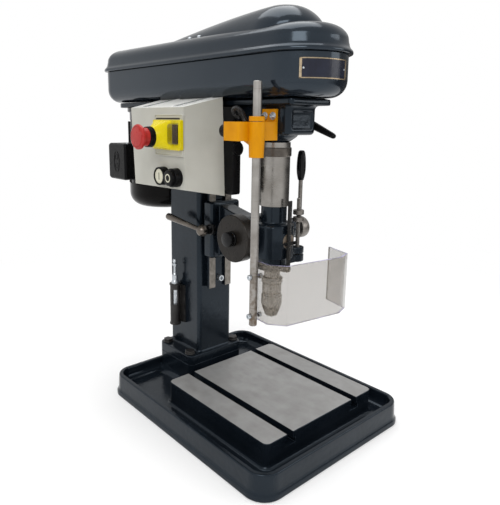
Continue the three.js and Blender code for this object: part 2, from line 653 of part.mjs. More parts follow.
// Feed lever: ball-ended hub, steel arm and oval grip
function leverHubPiece() {
  const { radius, length, edge } = leverHub;
  const form = turned([
    [pinion.radius + fit, 0], [radius - edge, 0], [radius, edge], [radius, length - edge], [radius - edge, length - over],
    [0, length], [0, length / 2 + fit], [pinion.radius + fit, length / 2 + fit], [pinion.radius + fit, 0],
  ], medium);
  form.rotateY(Math.PI / 2);
  form.translate(leverHub.from, pinionY, arm.axis);
  const socket = bar(feedLever.radius + fit, arm.axis + pinion.radius + over * 2, arm.axis + radius + over, coarse);
  socket.translate(leverHub.from + length / 2, pinionY, 0);
  return piece('lever_hub', cut(form, socket), darkSteel);
}

function feedLeverArm() {
  const low = arm.axis + pinion.radius + over * 3;
  const rod = bar(feedLever.radius, low, arm.axis + feedLever.length - feedLever.gripLength / 2, coarse);
  const lever = piece('feed_lever', rod, darkSteel);
  lever.position.set(leverHub.from + leverHub.length / 2, pinionY, 0);
  return lever;
}

function feedGrip() {
  const { gripLength, grip, gripEnd, radius, length } = feedLever;
  const bore = radius + fit;
  const profile = [
    [bore, 0], [gripEnd * 1.2, 0], [grip * 0.9, gripLength * 0.2], [grip, gripLength * 0.45], [grip * 0.95, gripLength * 0.7],
    [gripEnd * 1.3, gripLength * 0.94], [0, gripLength], [0, gripLength / 2 + fit], [bore, gripLength / 2 + fit], [bore, 0],
  ];
  const part = piece('feed_grip', turned(profile), darkPlastic);
  part.position.set(leverHub.from + leverHub.length / 2, pinionY, arm.axis + length - gripLength);
  return part;
}

// Clamp lever with its ball, tapered handle and threaded hub
function clampLever() {
  const studY = clamp.y;
  const hub = bar(clamp.hub, 0, clamp.hubLength, medium);
  const ball = new THREE.SphereGeometry(clamp.ball, coarse, coarse / 2).translate(0, 0, clamp.hubLength + clamp.ball * 0.8);
  const handle = bar(clamp.handleThin, clamp.ball / 2, clamp.length - clamp.handleThick, coarse, clamp.handleThick);
  const end = new THREE.SphereGeometry(clamp.handleThick, coarse, coarse / 2).translate(0, 0, clamp.length - clamp.handleThick);
  const grip = join(handle, end);
  grip.rotateX(-Math.PI / 2 + THREE.MathUtils.degToRad(clamp.rise));
  grip.rotateZ(THREE.MathUtils.degToRad(clamp.lean));
  grip.translate(-clamp.hubLength - clamp.ball * 0.8, 0, 0);
  const body = join(hub, ball).rotateY(-Math.PI / 2);
  const lever = piece('clamp_lever', join(body, grip), darkSteel);
  lever.position.set(-arm.plateWidth / 2 - fit, studY, arm.axis);
  return lever;
}

// Quill with its rack, bearing seats and spindle bore
function quillTube() {
  const seat = bearing.radius + fit;
  const { radius, bore, bottom, top } = quill;
  const tube = turned([
    [seat, bottom], [radius, bottom], [radius, top], [seat, top], [seat, top - bearing.width - bearing.lift],
    [bore, top - bearing.width - bearing.lift], [bore, bottom + bearing.width + bearing.lift],
    [seat, bottom + bearing.width + bearing.lift], [seat, bottom],
  ], medium);
  const part = piece('quill', cut(tube, ...rackGaps()), ground);
  part.position.set(0, spindleY, 0);
  return part;
}

function rackGaps() {
  const tip = rackLine + gear.addendum;
  const root = rackLine - gear.dedendum;
  const halfOpen = (pitch * (1 - gear.toothShare * gear.tipShare)) / 2;
  const halfRoot = (pitch * (1 - gear.toothShare * (2 - gear.tipShare))) / 2;
  const outward = quill.radius + over;
  const first = arm.axis + Math.ceil((rack.bottom - arm.axis) / pitch) * pitch;
  return Array.from({ length: rack.teeth }, (_, i) => first + i * pitch).map((z) => {
    const gap = prism([
      [root, z - halfRoot], [tip, z - halfOpen], [outward, z - halfOpen],
      [outward, z + halfOpen], [tip, z + halfOpen], [root, z + halfRoot],
    ], gear.width);
    gap.rotateX(Math.PI / 2);
    gap.rotateZ(Math.PI / 2);
    return gap.translate(-gear.width / 2, 0, 0);
  });
}

function quillBearing(name, low) {
  const part = piece(name, ring(spindle.journal + fit, bearing.radius, low, low + bearing.width), zinc);
  part.position.set(0, spindleY, 0);
  return part;
}

// Collar clamped on the quill's lower end, with lugs for the rod and the scale
function quillCollar() {
  const { radius, height, top, flangeHeight, waist } = collar;
  const low = top - height;
  const hub = turned([[0, low], [radius, low], [radius, low + flangeHeight], [waist, low + flangeHeight], [waist, top], [0, top]], fine);
  const rodLugTop = top - fit;
  const lugY = lug.rodY - spindleY;
  const plan = roundedRectangle(lug.width, lug.depth, lug.corner, lug.rodX, lugY);
  const rodLug = join(
    loft(plan, [[rodLugTop - lug.height, 0], [rodLugTop, 0]]),
    block(0, lug.rodX, lugY - lug.bridge / 2, lugY + lug.bridge / 2, rodLugTop - lug.height, rodLugTop),
  );
  const front = -scaleY() - fit;
  const scaleLug = block(-scale.foot, scale.foot, -front, 0, low, low + flangeHeight);
  const bores = [
    bar(quill.radius + fit, quill.bottom, top + over, fine),
    bar(chuck.nose + fit * 2, low - over, quill.bottom + over, medium),
    bar(depthRod.radius + fit, rodLugTop - lug.height / 2, rodLugTop + over, coarse).translate(lug.rodX, lugY, 0),
  ];
  const part = piece('quill_collar', cut(join(hub, rodLug, scaleLug), ...bores), paint);
  part.position.set(0, spindleY, 0);
  return part;
}

// Distance of the scale's back from the spindle axis, towards the operator
function scaleY() {
  return -(arm.hubFlat + pointerBoss.depth + scale.standOff);
}

function depthScale() {
  const back = spindleY + scaleY();
  const low = collar.top - collar.height;
  const strip = block(scale.x - scale.width / 2, scale.x + scale.width / 2, back - scale.thickness, back, low, scale.top);
  return piece('depth_scale', strip, darkSteel);
}

function depthRodPiece() {
  const low = collar.top - fit - lug.height / 2 + fit;
  const rod = piece('depth_rod', bar(depthRod.radius, low, depthRod.top, coarse), zinc);
  rod.position.set(lug.rodX, lug.rodY, 0);
  return rod;
}

function depthNutAt(name, low) {
  const { radius, height } = depthNut;
  const edge = over;
  const nut = piece(name, turned([
    [depthRod.radius + fit, 0], [radius - edge, 0], [radius, edge], [radius, height - edge],
    [radius - edge, height], [depthRod.radius + fit, height], [depthRod.radius + fit, 0],
  ], coarse), darkSteel);
  nut.position.set(lug.rodX, lug.rodY, low);
  return nut;
}

// Spindle: nose inside the chuck, journals in the quill and a long drive end
function spindleShaft() {
  const { radius, journal, sunk, nose, tip } = spindle;
  const driveShare = 0.94;
  const drive = radius * driveShare;
  const top = pulleyTop - sunk;
  const lower = quill.bottom + bearing.lift + bearing.width + bearing.lift;
  const upper = quill.top - bearing.lift * 2 - bearing.width;
  const shaft = turned([
    [0, tip], [nose * 0.85, tip], [nose, chuck.top - over], [journal, quill.bottom - over], [journal, lower],
    [radius, lower], [radius, upper], [journal, upper], [journal, quill.top], [drive, quill.top], [drive, top], [0, top],
  ]);
  const part = piece('spindle', shaft, ground);
  part.position.set(0, spindleY, 0);
  return part;
}

function chuckBody() {
  const c = chuck;
  const ringTop = c.top - c.noseHeight;
  const bodyTop = ringTop - c.ringHeight;
  const bodyLow = bodyTop - c.bodyHeight;
  const coneTop = c.sleeveBottom + c.coneHeight;
  const tipLow = c.sleeveBottom + c.edge;
  const bore = spindle.nose + fit;
  const form = turned([
    [0, spindle.tip - fit - over * 3], [c.coreBore, spindle.tip - fit - over * 3], [c.coreBore, tipLow], [c.coreTip, tipLow],
    [c.core, coneTop + fit], [c.core, bodyLow], [c.body - c.edge, bodyLow], [c.body, bodyLow + c.edge], [c.body, bodyTop],
    [c.ring, bodyTop], [c.ring, ringTop], [c.nose, ringTop], [c.nose, c.top], [bore, c.top],
    [bore * 0.87, spindle.tip - fit], [0, spindle.tip - fit],
  ], medium);
  const slots = [0, 1, 2].map((index) => jawForm(index, fit, jaw.travel));
  const part = piece('chuck_body', cut(form, ...slots), darkSteel);
  part.position.set(0, spindleY, 0);
  return part;
}

function chuckSleeve() {
  const c = chuck;
  const top = c.top - c.noseHeight - c.ringHeight - c.bodyHeight - fit * 2;
  const coneTop = c.sleeveBottom + c.coneHeight;
  const bore = c.core + fit;
  const mouthBore = c.coreTip + fit * 2;
  const form = turned([
    [bore, coneTop], [mouthBore, c.sleeveBottom + c.edge], [mouthBore, c.sleeveBottom], [c.mouth, c.sleeveBottom],
    [c.sleeve * 0.86, coneTop - c.edge], [c.sleeve, coneTop + c.coneHeight / 2], [c.sleeve, top - c.coneHeight / 2],
    [c.body, top - over], [c.body - over, top], [bore, top], [bore, coneTop],
  ], medium);
  const part = piece('chuck_sleeve', form, darkSteel);
  part.position.set(0, spindleY, 0);
  return part;
}

function jawForm(index, gap, travel) {
  const { radius, length, lean, tipGap, bottom } = jaw;
  const size = radius + gap;
  const form = turned([[0, -gap], [size * 0.6, -gap], [size, radius], [size, length + travel], [0, length + travel]], 8);
  form.rotateY(THREE.MathUtils.degToRad(lean));
  form.translate(radius + tipGap * 2, 0, bottom);
  return form.rotateZ((index * 2 * Math.PI) / 3);
}

function chuckJaw(index) {
  const part = piece(`chuck_jaw_${index + 1}`, common(jawForm(index, 0, 0), jawSector(index)), zinc);
  part.position.set(0, spindleY, 0);
  return part;
}

// Wedge of a third of a turn that keeps one jaw clear of its neighbours
function jawSector(index) {
  const reach = chuck.core;
  const gap = jaw.tipGap;
  const third = (2 * Math.PI) / 3;
  const points = [[gap, 0], [reach, reach * Math.tan(third / 2) * 0.999], [reach, -reach * Math.tan(third / 2) * 0.999]];
  const sector = prism(points, jaw.length * 2).translate(0, 0, jaw.bottom - jaw.length / 2);
  return sector.rotateZ(index * third);
}

// Fixed head: body, top plate, seat for the belt case, nose for the bright sleeve and the motor plate
function headCasting() {
  const back = columnY;
  const bodyPlan = roundedRectangle(head.width, back - head.front, head.corner, 0, (back + head.front) / 2);
  const body = loft(bodyPlan, [
    ...quarter(head.round).map(([rise, side]) => [head.bottom + rise, -side]),
    ...quarter(head.fillet).map(([rise, side]) => [head.top - rise, side]).reverse(),
    [head.top + over, head.fillet],
  ]);
  const cap = loft(roundedRectangle(column.width, column.depth, column.corner, 0, columnY), [
    [column.top + fit, 0], [head.top + over, 0],
  ]);
  const plateBack = motorPlate.front + motorPlate.corner;
  const platePlan = roundedRectangle(head.plateWidth, plateBack - head.plateFront, head.round, 0, (plateBack + head.plateFront) / 2);
  const plate = loft(platePlan, [[head.top, 0], [headPlateTop, 0]]);
  const rearPlan = roundedRectangle(
    motorPlate.width, motorPlate.back - motorPlate.front, motorPlate.corner, 0, (motorPlate.back + motorPlate.front) / 2,
  );
  const rear = loft(rearPlan, [[head.top, 0], [headPlateTop, 0]]);
  const pad = loft(platePlan, [[headPlateTop - over, -head.padInset], [padTop, -head.padInset]]);
  const noseLevels = [[head.noseEnd, head.noseBottom], [head.noseRadius, head.bottom - head.round / 2], [head.noseRadius, head.bottom + head.round]];
  const nose = turned([[0, head.noseBottom], ...noseLevels, [0, head.bottom + head.round]], fine).translate(0, spindleY, 0);
  const whole = join(body, cap, plate, rear, pad, nose, noseRib());
  return cut(whole, ...headCuts());
}

function noseRib() {
  const half = head.ribThickness / 2;
  const front = spindleY + sleeve.radius + fit;
  const reach = head.bottom + head.round;
  const rise = head.bottom - head.ribDrop;
  const points = [[front, head.ribDrop], [front + rise * 1.6, reach], [front, reach]];
  const form = prism(points, head.ribThickness);
  form.rotateX(Math.PI / 2);
  form.rotateZ(Math.PI / 2);
  return form.translate(-half, 0, 0);
}

function headCuts() {
  const bore = bar(head.bore, head.noseBottom - over, padTop + over, fine).translate(0, spindleY, 0);
  const panelMiddle = (head.bottom + head.top) / 2;
  const panel = block(
    -head.panelWidth / 2, head.panelWidth / 2, head.front - over, head.front + head.panelDepth,
    panelMiddle - head.panelHeight / 2, panelMiddle + head.panelHeight / 2,
  );
  const motorHole = bar(motorPlate.hole, head.top - over, headPlateTop + over, medium).translate(0, motor.y, 0);
  const stud = alongX(bar(tensionLever.stud + fit, head.width / 2 - tensionLever.hubLength, head.width / 2 + over, coarse));
  stud.translate(0, tensionLever.y, tensionLever.z);
  const core = loft(roundedRectangle(column.width, column.depth, column.corner, 0, columnY), [
    [column.top - over, -column.wall], [head.top - column.wall, -column.wall],
  ]);
  return [bore, panel, motorHole, stud, core];
}

// Bright sleeve between head and arm, and the knurled nut on it
function brightSleeve() {
  const part = piece('quill_sleeve', ring(sleeve.radius - sleeve.wall, sleeve.radius, sleeve.bottom, head.noseBottom - fit, fine), ground);
  part.position.set(0, spindleY, 0);
  return part;
}

function sleeveNutPiece() {
  const { radius, bottom, height, edge } = sleeveNut;
  const inner = sleeve.radius + fit;
  const form = turned([
    [inner, bottom], [radius - edge, bottom], [radius, bottom + edge], [radius, bottom + height - edge],
    [radius - edge, bottom + height], [inner, bottom + height], [inner, bottom],
  ], fine);
  const ribClear = block(-head.ribThickness, head.ribThickness, sleeve.radius + fit / 2, sleeveNut.radius + over, head.ribDrop - fit, head.bottom);
  const part = piece('sleeve_nut', cut(form, ribClear), darkSteel);
  part.position.set(0, spindleY, 0);
  return part;
}

// Tapered lever on the right side of the head
function tensionLeverPiece() {
  const t = tensionLever;
  const hub = turned([[0, -t.hubLength + fit], [t.stud, -t.hubLength + fit], [t.stud, 0], [t.hub, 0],
    [t.hub, t.hubLength - t.edge], [t.hub - t.edge, t.hubLength], [0, t.hubLength]], medium);
  hub.rotateY(Math.PI / 2);
  const handle = bar(t.thick, 0, t.length - t.thin, coarse, t.thin);
  const end = new THREE.SphereGeometry(t.thin, coarse, coarse / 2).translate(0, 0, t.length - t.thin);
  const grip = join(handle, end);
  grip.rotateX(Math.PI / 2 + THREE.MathUtils.degToRad(t.droop));
  grip.translate(t.hubLength - t.thick - t.edge, 0, 0);
  const part = piece('tension_lever', join(hub, grip), darkPlastic);
  part.position.set(head.width / 2 + fit, t.y, t.z);
  return part;
}

// Plan of the belt case: a round nose and two rounded rear corners
const casePlan = [
  { x: 0, y: beltCase.noseY, r: beltCase.nose },
  { x: beltCase.tailWidth / 2 - beltCase.tail, y: beltCase.back - beltCase.tail, r: beltCase.tail },
  { x: beltCase.tail - beltCase.tailWidth / 2, y: beltCase.back - beltCase.tail, r: beltCase.tail },
];
const caseSteps = 8;

function beltCaseShell() {
  const { round, wall } = beltCase;
  const bottom = caseBottom;
  const seam = caseSeam;
  const outer = loft(casePlan, [
    ...quarter(round).map(([rise, side]) => [bottom + rise, -side]), [seam, 0],
  ], caseSteps);
  const inner = loft(casePlan, [
    [bottom + wall, -round - wall], [bottom + wall + round / 3, -round / 3 - wall],
    [bottom + wall + round, -wall], [seam + over, -wall],
  ], caseSteps);
  const spindleHole = bar(pulley.sleeve + over * 4, bottom - over, bottom + wall + over, medium).translate(0, spindleY, 0);
  const motorHole = bar(motorPlate.hole, bottom - over, bottom + wall + over, medium).translate(0, motor.y, 0);
  return cut(join(cut(outer, inner), ...caseKnuckles()), spindleHole, motorHole);
}

const hingeY = beltCase.back + lid.bead + lidHinge.standOff;
const hingeZ = caseSeam;

function caseKnuckles() {
  const half = lidHinge.width / 2;
  const knuckles = [-half - lidHinge.leaf, half + fit].map((x) => join(
    alongX(bar(lidHinge.radius, 0, lidHinge.leaf - fit, coarse)).translate(x, hingeY, hingeZ),
    block(x, x + lidHinge.leaf - fit, beltCase.back - beltCase.wall / 2, hingeY, hingeZ - lidHinge.radius * 3, hingeZ - lidHinge.radius),
    block(x, x + lidHinge.leaf - fit, hingeY - lidHinge.radius, hingeY, hingeZ - lidHinge.radius * 2, hingeZ),
  ));
  const pin = alongX(bar(lidHinge.pin, -half - lidHinge.leaf / 2, half + lidHinge.leaf / 2, coarse));
  return [...knuckles, pin.translate(0, hingeY, hingeZ)];
}

// Levels of the lid's round shoulder, a quarter of an ellipse that starts level for any inset
function lidRoll(inset) {
  const steps = rollSteps;
  return Array.from({ length: steps + 1 }, (_, k) => {
    const angle = (k / steps) * (Math.PI / 2);
    const rise = (lid.shoulder - inset) * Math.sin(angle);
    return [lidTop - lid.shoulder + rise, -over - inset - (lid.shoulderWidth - inset) * (1 - Math.cos(angle))];
  });
}

function lidLevels() {
  const low = caseSeam + fit;
  const beadTop = low + lid.beadHeight;
  return [
    [low, lid.bead],
    [low + lid.beadHeight / 2, lid.bead],
    [beadTop, lid.waist],
    [beadTop + lid.beadHeight / 2, 0],
    ...lidRoll(0),
  ];
}

function humpForm(inset) {
  const stages = [[-0.45, 0], [0.1, 0.03], [0.36, 0.1], [0.62, 0.21], [0.83, 0.36], [0.95, 0.53], [1, 0.74]];
  const circles = (shrink) => [
    { x: 0, y: hump.frontY, r: (hump.front - inset) * (1 - shrink) },
    { x: 0, y: hump.rearY, r: (hump.rear - inset) * (1 - shrink) },
  ];
  const fall = (hump.height - hump.tailHeight) / (hump.rearY - hump.frontY);
  const rise = (y) => hump.height - inset - Math.max(0, y - hump.frontY) * fall;
  return skin(stages.map(([up, shrink]) => (
    outline(circles(shrink), 0, caseSteps).map(([x, y]) => [x, y, lidTop - lid.crown + rise(y) * up])
  )));
}

function beltCaseLid() {
  const { wall } = beltCase;
  const outer = join(loft(casePlan, lidLevels(), caseSteps), humpForm(0));
  const inner = loft(casePlan, [[caseSeam - over, -wall], ...lidRoll(wall)], caseSteps);
  const half = lidHinge.width / 2;
  const knuckle = join(
    alongX(bar(lidHinge.radius, -half + fit, half - fit, coarse)).translate(0, hingeY, hingeZ),
    block(-half + fit, half - fit, beltCase.back, hingeY, hingeZ + lidHinge.pin + over, hingeZ + lidHinge.radius),
  );
  const bore = alongX(bar(lidHinge.pin + fit, -half - over, half + over, coarse)).translate(0, hingeY, hingeZ);
  return cut(join(cut(outer, inner, humpForm(wall)), knuckle), bore);
}

// Stepped V-belt pulley, its largest step first
function steppedProfile(radii) {
  const { stepHeight, groove, grooveRoot } = pulley;
  return radii.flatMap((radius, i) => {
    const low = pulleyBottom + i * stepHeight;
    const middle = low + stepHeight / 2;
    return [
      [radius, low], [radius - groove, middle - grooveRoot / 2],
      [radius - groove, middle + grooveRoot / 2], [radius, low + stepHeight],
    ];
  });
}

function spindlePulley() {
  const bore = spindle.radius + fit;
  const steps = steppedProfile([...pulley.steps].reverse());
  const form = turned([
    [bore, sleeveFoot], [pulley.sleeve, sleeveFoot], [pulley.sleeve, pulleyBottom], ...steps, [bore, pulleyTop], [bore, sleeveFoot],
  ], plain);
  const part = piece('spindle_pulley', form, ground);
  part.position.set(0, spindleY, 0);
  return part;
}

function motorPulley() {
  const bore = motorShaft.radius + fit;
  const form = turned([[bore, pulleyBottom], ...steppedProfile(pulley.steps), [bore, pulleyTop], [bore, pulleyBottom]], plain);
  const part = piece('motor_pulley', form, ground);
  part.position.set(0, motor.y, 0);
  return part;
}

// V-belt round one pair of steps
function driveBelt() {
  const driven = [...pulley.steps].reverse()[belt.step];
  const driving = pulley.steps[belt.step];
  const root = belt.slack - pulley.groove;
  const circles = [{ x: 0, y: spindleY, r: driven + root }, { x: 0, y: motor.y, r: driving + root }];
  const middle = pulleyBottom + (belt.step + 0.5) * pulley.stepHeight;
  const rail = (grow, halfHeight) => outline(circles, grow, caseSteps).map(([x, y]) => [x, y, middle + halfHeight]);
  const slope = (pulley.stepHeight - pulley.grooveRoot) / 2 / pulley.groove;
  const innerHalf = pulley.grooveRoot / 2 - fit;
  const outerHalf = innerHalf + belt.thickness * slope;
  const rails = [rail(0, -innerHalf), rail(belt.thickness, -outerHalf), rail(belt.thickness, outerHalf), rail(0, innerHalf)];
  return piece('drive_belt', hoop(rails), rubber);
}

// Motor: ribbed frame with its flange, fan cowl, shaft and terminal box
function motorFrame() {
  const { radius, ribs, ribDepth, bottom, shoulder, collar: neck, flangeHeight } = motor;
  const step = (2 * Math.PI) / ribs;
  const ring4 = [[-0.5, -ribDepth], [-0.2, -ribDepth], [-0.12, 0], [0.12, 0], [0.2, -ribDepth]];
  const points = Array.from({ length: ribs }, (_, i) => i * step).flatMap((angle) => (
    ring4.map(([share, depth]) => [(radius + depth) * Math.cos(angle + share * step), (radius + depth) * Math.sin(angle + share * step)])
  ));
  const body = prism(points, shoulder - bottom).translate(0, 0, bottom);
  const top = head.top - fit;
  const cap = turned([
    [0, shoulder - over], [radius - ribDepth * 2, shoulder - over], [neck, shoulder + flangeHeight], [neck, top - flangeHeight],
    [radius, top - flangeHeight], [radius, top], [0, top],
  ], fine);
  const bore = bar(motorShaft.radius + fit, motorShaft.bottom - fit, top + over, medium);
  const part = piece('motor_frame', cut(join(body, cap), bore), paint);
  part.position.set(0, motor.y, 0);
  return part;
}

function fanCowl() {
  const { radius, bottom, round, wall, ventInner, ventOuter, vents, ventShare } = cowl;
  const top = motor.bottom - fit;
  const outer = quarter(round).map(([rise, side]) => [radius - side, bottom + rise]);
  const inner = quarter(round - wall).map(([rise, side]) => [radius - wall - side, bottom + wall + rise]).reverse();
  const shell = turned([[0, bottom], ...outer, [radius, top], [radius - wall, top], ...inner, [0, bottom + wall]], fine);
  const step = (2 * Math.PI) / vents;
  const openings = Array.from({ length: vents }, (_, i) => {
    const half = (step * ventShare) / 2;
    const angle = i * step;
    const at = (distance, turn) => [distance * Math.cos(angle + turn), distance * Math.sin(angle + turn)];
    return prism([at(ventInner, -half), at(ventOuter, -half), at(ventOuter, half), at(ventInner, half)], wall + over * 2)
      .translate(0, 0, bottom - over);
  });
  const part = piece('fan_cowl', cut(shell, ...openings), paint);
  part.position.set(0, motor.y, 0);
  return part;
}

function motorShaftPiece() {
  const part = piece('motor_shaft', bar(motorShaft.radius, motorShaft.bottom, pulleyTop + motorShaft.stand, medium), ground);
  part.position.set(0, motor.y, 0);
  return part;
}

function terminalBoxPiece() {
  const { depth, width, bottom, height, corner } = terminalBox;
  const reach = motor.radius + depth;
  const plan = roundedRectangle(width, height, corner, 0, bottom + height / 2);
  const form = loft(plan, [[motor.radius / 2, 0], [reach - corner / 2, 0], [reach, -corner / 2]]);
  form.applyMatrix4(leftView());
  const clearMotor = bar(motor.radius + over, bottom - over, bottom + height + over, fine);
  const part = piece('terminal_box', cut(form, clearMotor), darkPlastic);
  part.position.set(0, motor.y, 0);
  return part;
}

// Turns a shape drawn for someone who faces the machine's left side: right is -Y, up is Z, towards them is -X
function leftView() {
  return new THREE.Matrix4().makeBasis(new THREE.Vector3(0, -1, 0), new THREE.Vector3(0, 0, 1), new THREE.Vector3(-1, 0, 0));
}

// Control box group, with the box's back on the black mount
function controlBoxes() {
  const group = new THREE.Group();
  group.applyMatrix4(leftView());
  group.position.set(-boxSide, box.centreY, 0);
  group.add(mountBox(), controlBox(), flapPiece(), flapWindow(), stopMushroom());
  group.add(pushButton('start_button', button.startAt, button.startStand, white));
  group.add(pushButton('stop_button', button.stopAt, button.stopStand, darkPlastic));
  return group;
}

function mountBox() {
  const { thickness, width, centreY, bottom, height, corner } = backBox;
  const plan = roundedRectangle(width, height, corner, box.centreY - centreY, bottom + height / 2);
  const body = loft(plan, [[0, 0], [thickness, 0]]);
  const stub = bar(gland.radius, 0, gland.length, gland.sides);
  stub.rotateY(Math.PI / 2);
  stub.translate(box.centreY - centreY + width / 2 - over, glandZ, thickness / 2);
  return piece('switch_mount', join(body, stub), darkPlastic);
}

function controlBox() {
  const { bottom, height, width, rimDepth, depth, draft, corner, wall } = box;
  const from = backBox.thickness + fit;
  const middle = [0, bottom + height / 2];
  const outer = tapered(width, height, corner, middle, [[from, 0], [from + rimDepth, 0], [faceAt - over, -draft], [faceAt, -draft - over]]);
  const inner = tapered(width, height, corner, middle, [[from - over, -wall], [from + rimDepth, -wall], [faceAt - wall, -draft - wall]]);
  const panelPlan = roundedRectangle(flap.panelWidth, flap.panelHeight, flap.corner, flap.panelAt, stop.height + wall);
  const panel = loft(panelPlan, [[faceAt - over, 0], [faceAt + flap.panelDepth, 0]]);
  const disc = (radius, low, high) => [button.startAt, button.stopAt].map((x) => (
    bar(radius, low, high, medium).translate(x, button.height, 0)
  ));
  const bezels = disc(button.bezel, faceAt - button.pocket, faceAt + button.bezelDepth);
  const holes = disc(button.cap + fit, faceAt - button.pocket + wall, faceAt + button.bezelDepth + over);
  const pocket = bar(stop.neck + over, faceAt - wall - over, faceAt + flap.panelDepth + over, medium);
  pocket.translate(stop.at, stop.height, 0);
  return piece('control_box', cut(join(cut(outer, inner), panel, ...bezels), ...holes, pocket), grey);
}

// Yellow flap that holds the emergency stop, hinged along its top edge
const flapAt = faceAt + flap.panelDepth + fit;
const collarAt = flapAt + flap.depth + flap.towerRise;

function flapPiece() {
  const plate = loft(roundedRectangle(flap.width, flap.height, flap.corner, flap.at, flap.middle), [
    [flapAt, 0], [flapAt + flap.depth - over, 0], [flapAt + flap.depth, -over],
  ]);
  const tower = flapTower(0);
  const collarRing = bar(stop.collar, collarAt - over, collarAt + stop.collarDepth, medium).translate(stop.at, stop.height, 0);
  const bore = bar(stop.neck + fit, flapAt - over, collarAt + stop.collarDepth + over, medium);
  bore.translate(stop.at, stop.height, 0);
  const view = block(
    flap.windowAt - flap.windowWidth / 2 - fit, flap.windowAt + flap.windowWidth / 2 + fit,
    stop.height - flap.windowHeight / 2 - fit, stop.height + flap.windowHeight / 2 + fit,
    flapAt + flap.depth - flap.windowDepth - fit, flapAt + flap.depth + flap.towerRise,
  );
  return piece('stop_flap', cut(join(plate, tower, collarRing), flapTower(flap.wall), bore, view), yellow);
}

function flapTower(inset) {
  const foot = roundedRectangle(flap.towerWidth, flap.towerHeight, flap.towerCorner, flap.towerAt, flap.middle);
  const top = roundedRectangle(stop.collar * 2, stop.collar * 2, stop.collar - over / 2, stop.at, stop.height);
  const low = inset > 0 ? flapAt - over : flapAt;
  const level = (circles, grow, z) => outline(circles, grow, cornerSteps).map(([x, y]) => [x, y, z]);
  return skin([
    level(foot, -inset, low), level(foot, -inset, flapAt + flap.depth), level(top, -inset, collarAt - inset / 2),
  ]);
}

function flapWindow() {
  const low = flapAt + flap.depth - flap.windowDepth;
  const plan = roundedRectangle(flap.windowWidth, flap.windowHeight, flap.corner, flap.windowAt, stop.height);
  return piece('flap_window', loft(plan, [
    [low, 0], [low + flap.windowDepth, 0], [low + flap.windowDepth + flap.windowRise, -flap.windowDepth],
  ]), smoked);
}

function stopMushroom() {
  const foot = flapAt + stop.travel + over;
  const neckEnd = collarAt + stop.collarDepth + stop.neckDepth;
  const face = neckEnd + stop.headDepth;
  const form = turned([
    [0, foot], [stop.neck, foot], [stop.neck, neckEnd], [stop.head - over * 2, neckEnd], [stop.head, neckEnd + over * 2],
    [stop.head, face - over * 4], [stop.head - over * 2, face - over], [stop.head / 2, face], [0, face],
  ], medium);
  return piece('stop_mushroom', form.translate(stop.at, stop.height, 0), red);
}

function pushButton(name, x, stand, material) {
  const low = faceAt - button.pocket + box.wall + button.travel + over;
  const face = faceAt + button.bezelDepth + stand;
  const form = turned([[0, low], [button.cap, low], [button.cap, face - over], [button.cap - over, face], [0, face]], medium);
  return piece(name, form.translate(x, button.height, 0), material);
}

// Chuck guard: fixed bracket with its guide, collar that turns, rod and folded clear shield
function guardBracketPiece() {
  const g = guardBracket;
  const side = -head.width / 2 - fit;
  const plan = roundedRectangle(side - g.left, g.back - g.front, g.corner, (side + g.left) / 2, (g.back + g.front) / 2);
  const body = loft(plan, [[g.bottom, 0], [g.top, 0]]);
  const plate = block(side - g.plate, side, g.front + g.corner / 2, g.plateBack, g.bottom, g.plateTop);
  const guide = bar(g.hubFoot, g.hubBottom, g.top, medium, g.hub).translate(guardRod.x, guardRod.y, 0);
  const gusset = prism([
    [guardRod.y, g.bottom + over], [guardRod.y, g.bottom - g.gusset], [guardRod.y + g.hub + g.gusset, g.bottom], [g.back - g.corner, g.bottom + over],
  ], g.gussetWidth);
  gusset.rotateX(Math.PI / 2);
  gusset.rotateZ(Math.PI / 2);
  gusset.translate(guardRod.x - g.gussetWidth / 2, 0, 0);
  const bore = bar(guardRod.radius + fit, g.hubBottom - over, g.top + over, medium).translate(guardRod.x, guardRod.y, 0);
  return piece('guard_bracket', cut(join(body, plate, guide, gusset), bore), orange);
}

function guardGroup() {
  const group = new THREE.Group();
  group.position.set(guardRod.x, guardRod.y, 0);
  group.rotation.z = -THREE.MathUtils.degToRad(shield.swing);
  group.add(guardCollarPiece(), guardScrew(), guardRodPiece(), shieldPiece());
  group.add(guardBoltAt('guard_bolt_lower', guardBolt.low), guardBoltAt('guard_bolt_upper', guardBolt.high));
  return group;
}

function guardCollarPiece() {
  const { radius, height, bottom } = guardCollar;
  const form = ring(guardRod.radius + fit, radius, bottom, bottom + height);
  const hole = alongX(bar(thumbScrew.shank + fit, 0, radius + over, coarse)).translate(0, 0, bottom + height / 2);
  hole.rotateZ(THREE.MathUtils.degToRad(thumbScrew.turn));
  return piece('guard_collar', cut(form, hole), orange);
}

function guardScrew() {
  const { radius, length, shank, turn, edge } = thumbScrew;
  const form = turned([
    [0, guardRod.radius + fit], [shank, guardRod.radius + fit], [shank, guardCollar.radius + fit], [radius, guardCollar.radius + fit],
    [radius, guardCollar.radius + length - edge], [radius - edge, guardCollar.radius + length], [0, guardCollar.radius + length],
  ], coarse);
  form.rotateY(Math.PI / 2);
  form.translate(0, 0, guardCollar.bottom + guardCollar.height / 2);
  form.rotateZ(THREE.MathUtils.degToRad(turn));
  return piece('guard_thumb_screw', form, darkPlastic);
}

const guardBolts = [guardBolt.low, guardBolt.high];

function boltHoles(radius, from, to) {
  return guardBolts.map((z) => alongX(bar(radius, from, to, coarse)).translate(0, 0, z));
}

function guardRodPiece() {
  const rod = bar(guardRod.radius, guardRod.bottom, guardRod.top, medium);
  return piece('guard_rod', cut(rod, ...boltHoles(guardBolt.shank + fit, -guardRod.radius - over, guardRod.radius + over)), ground);
}

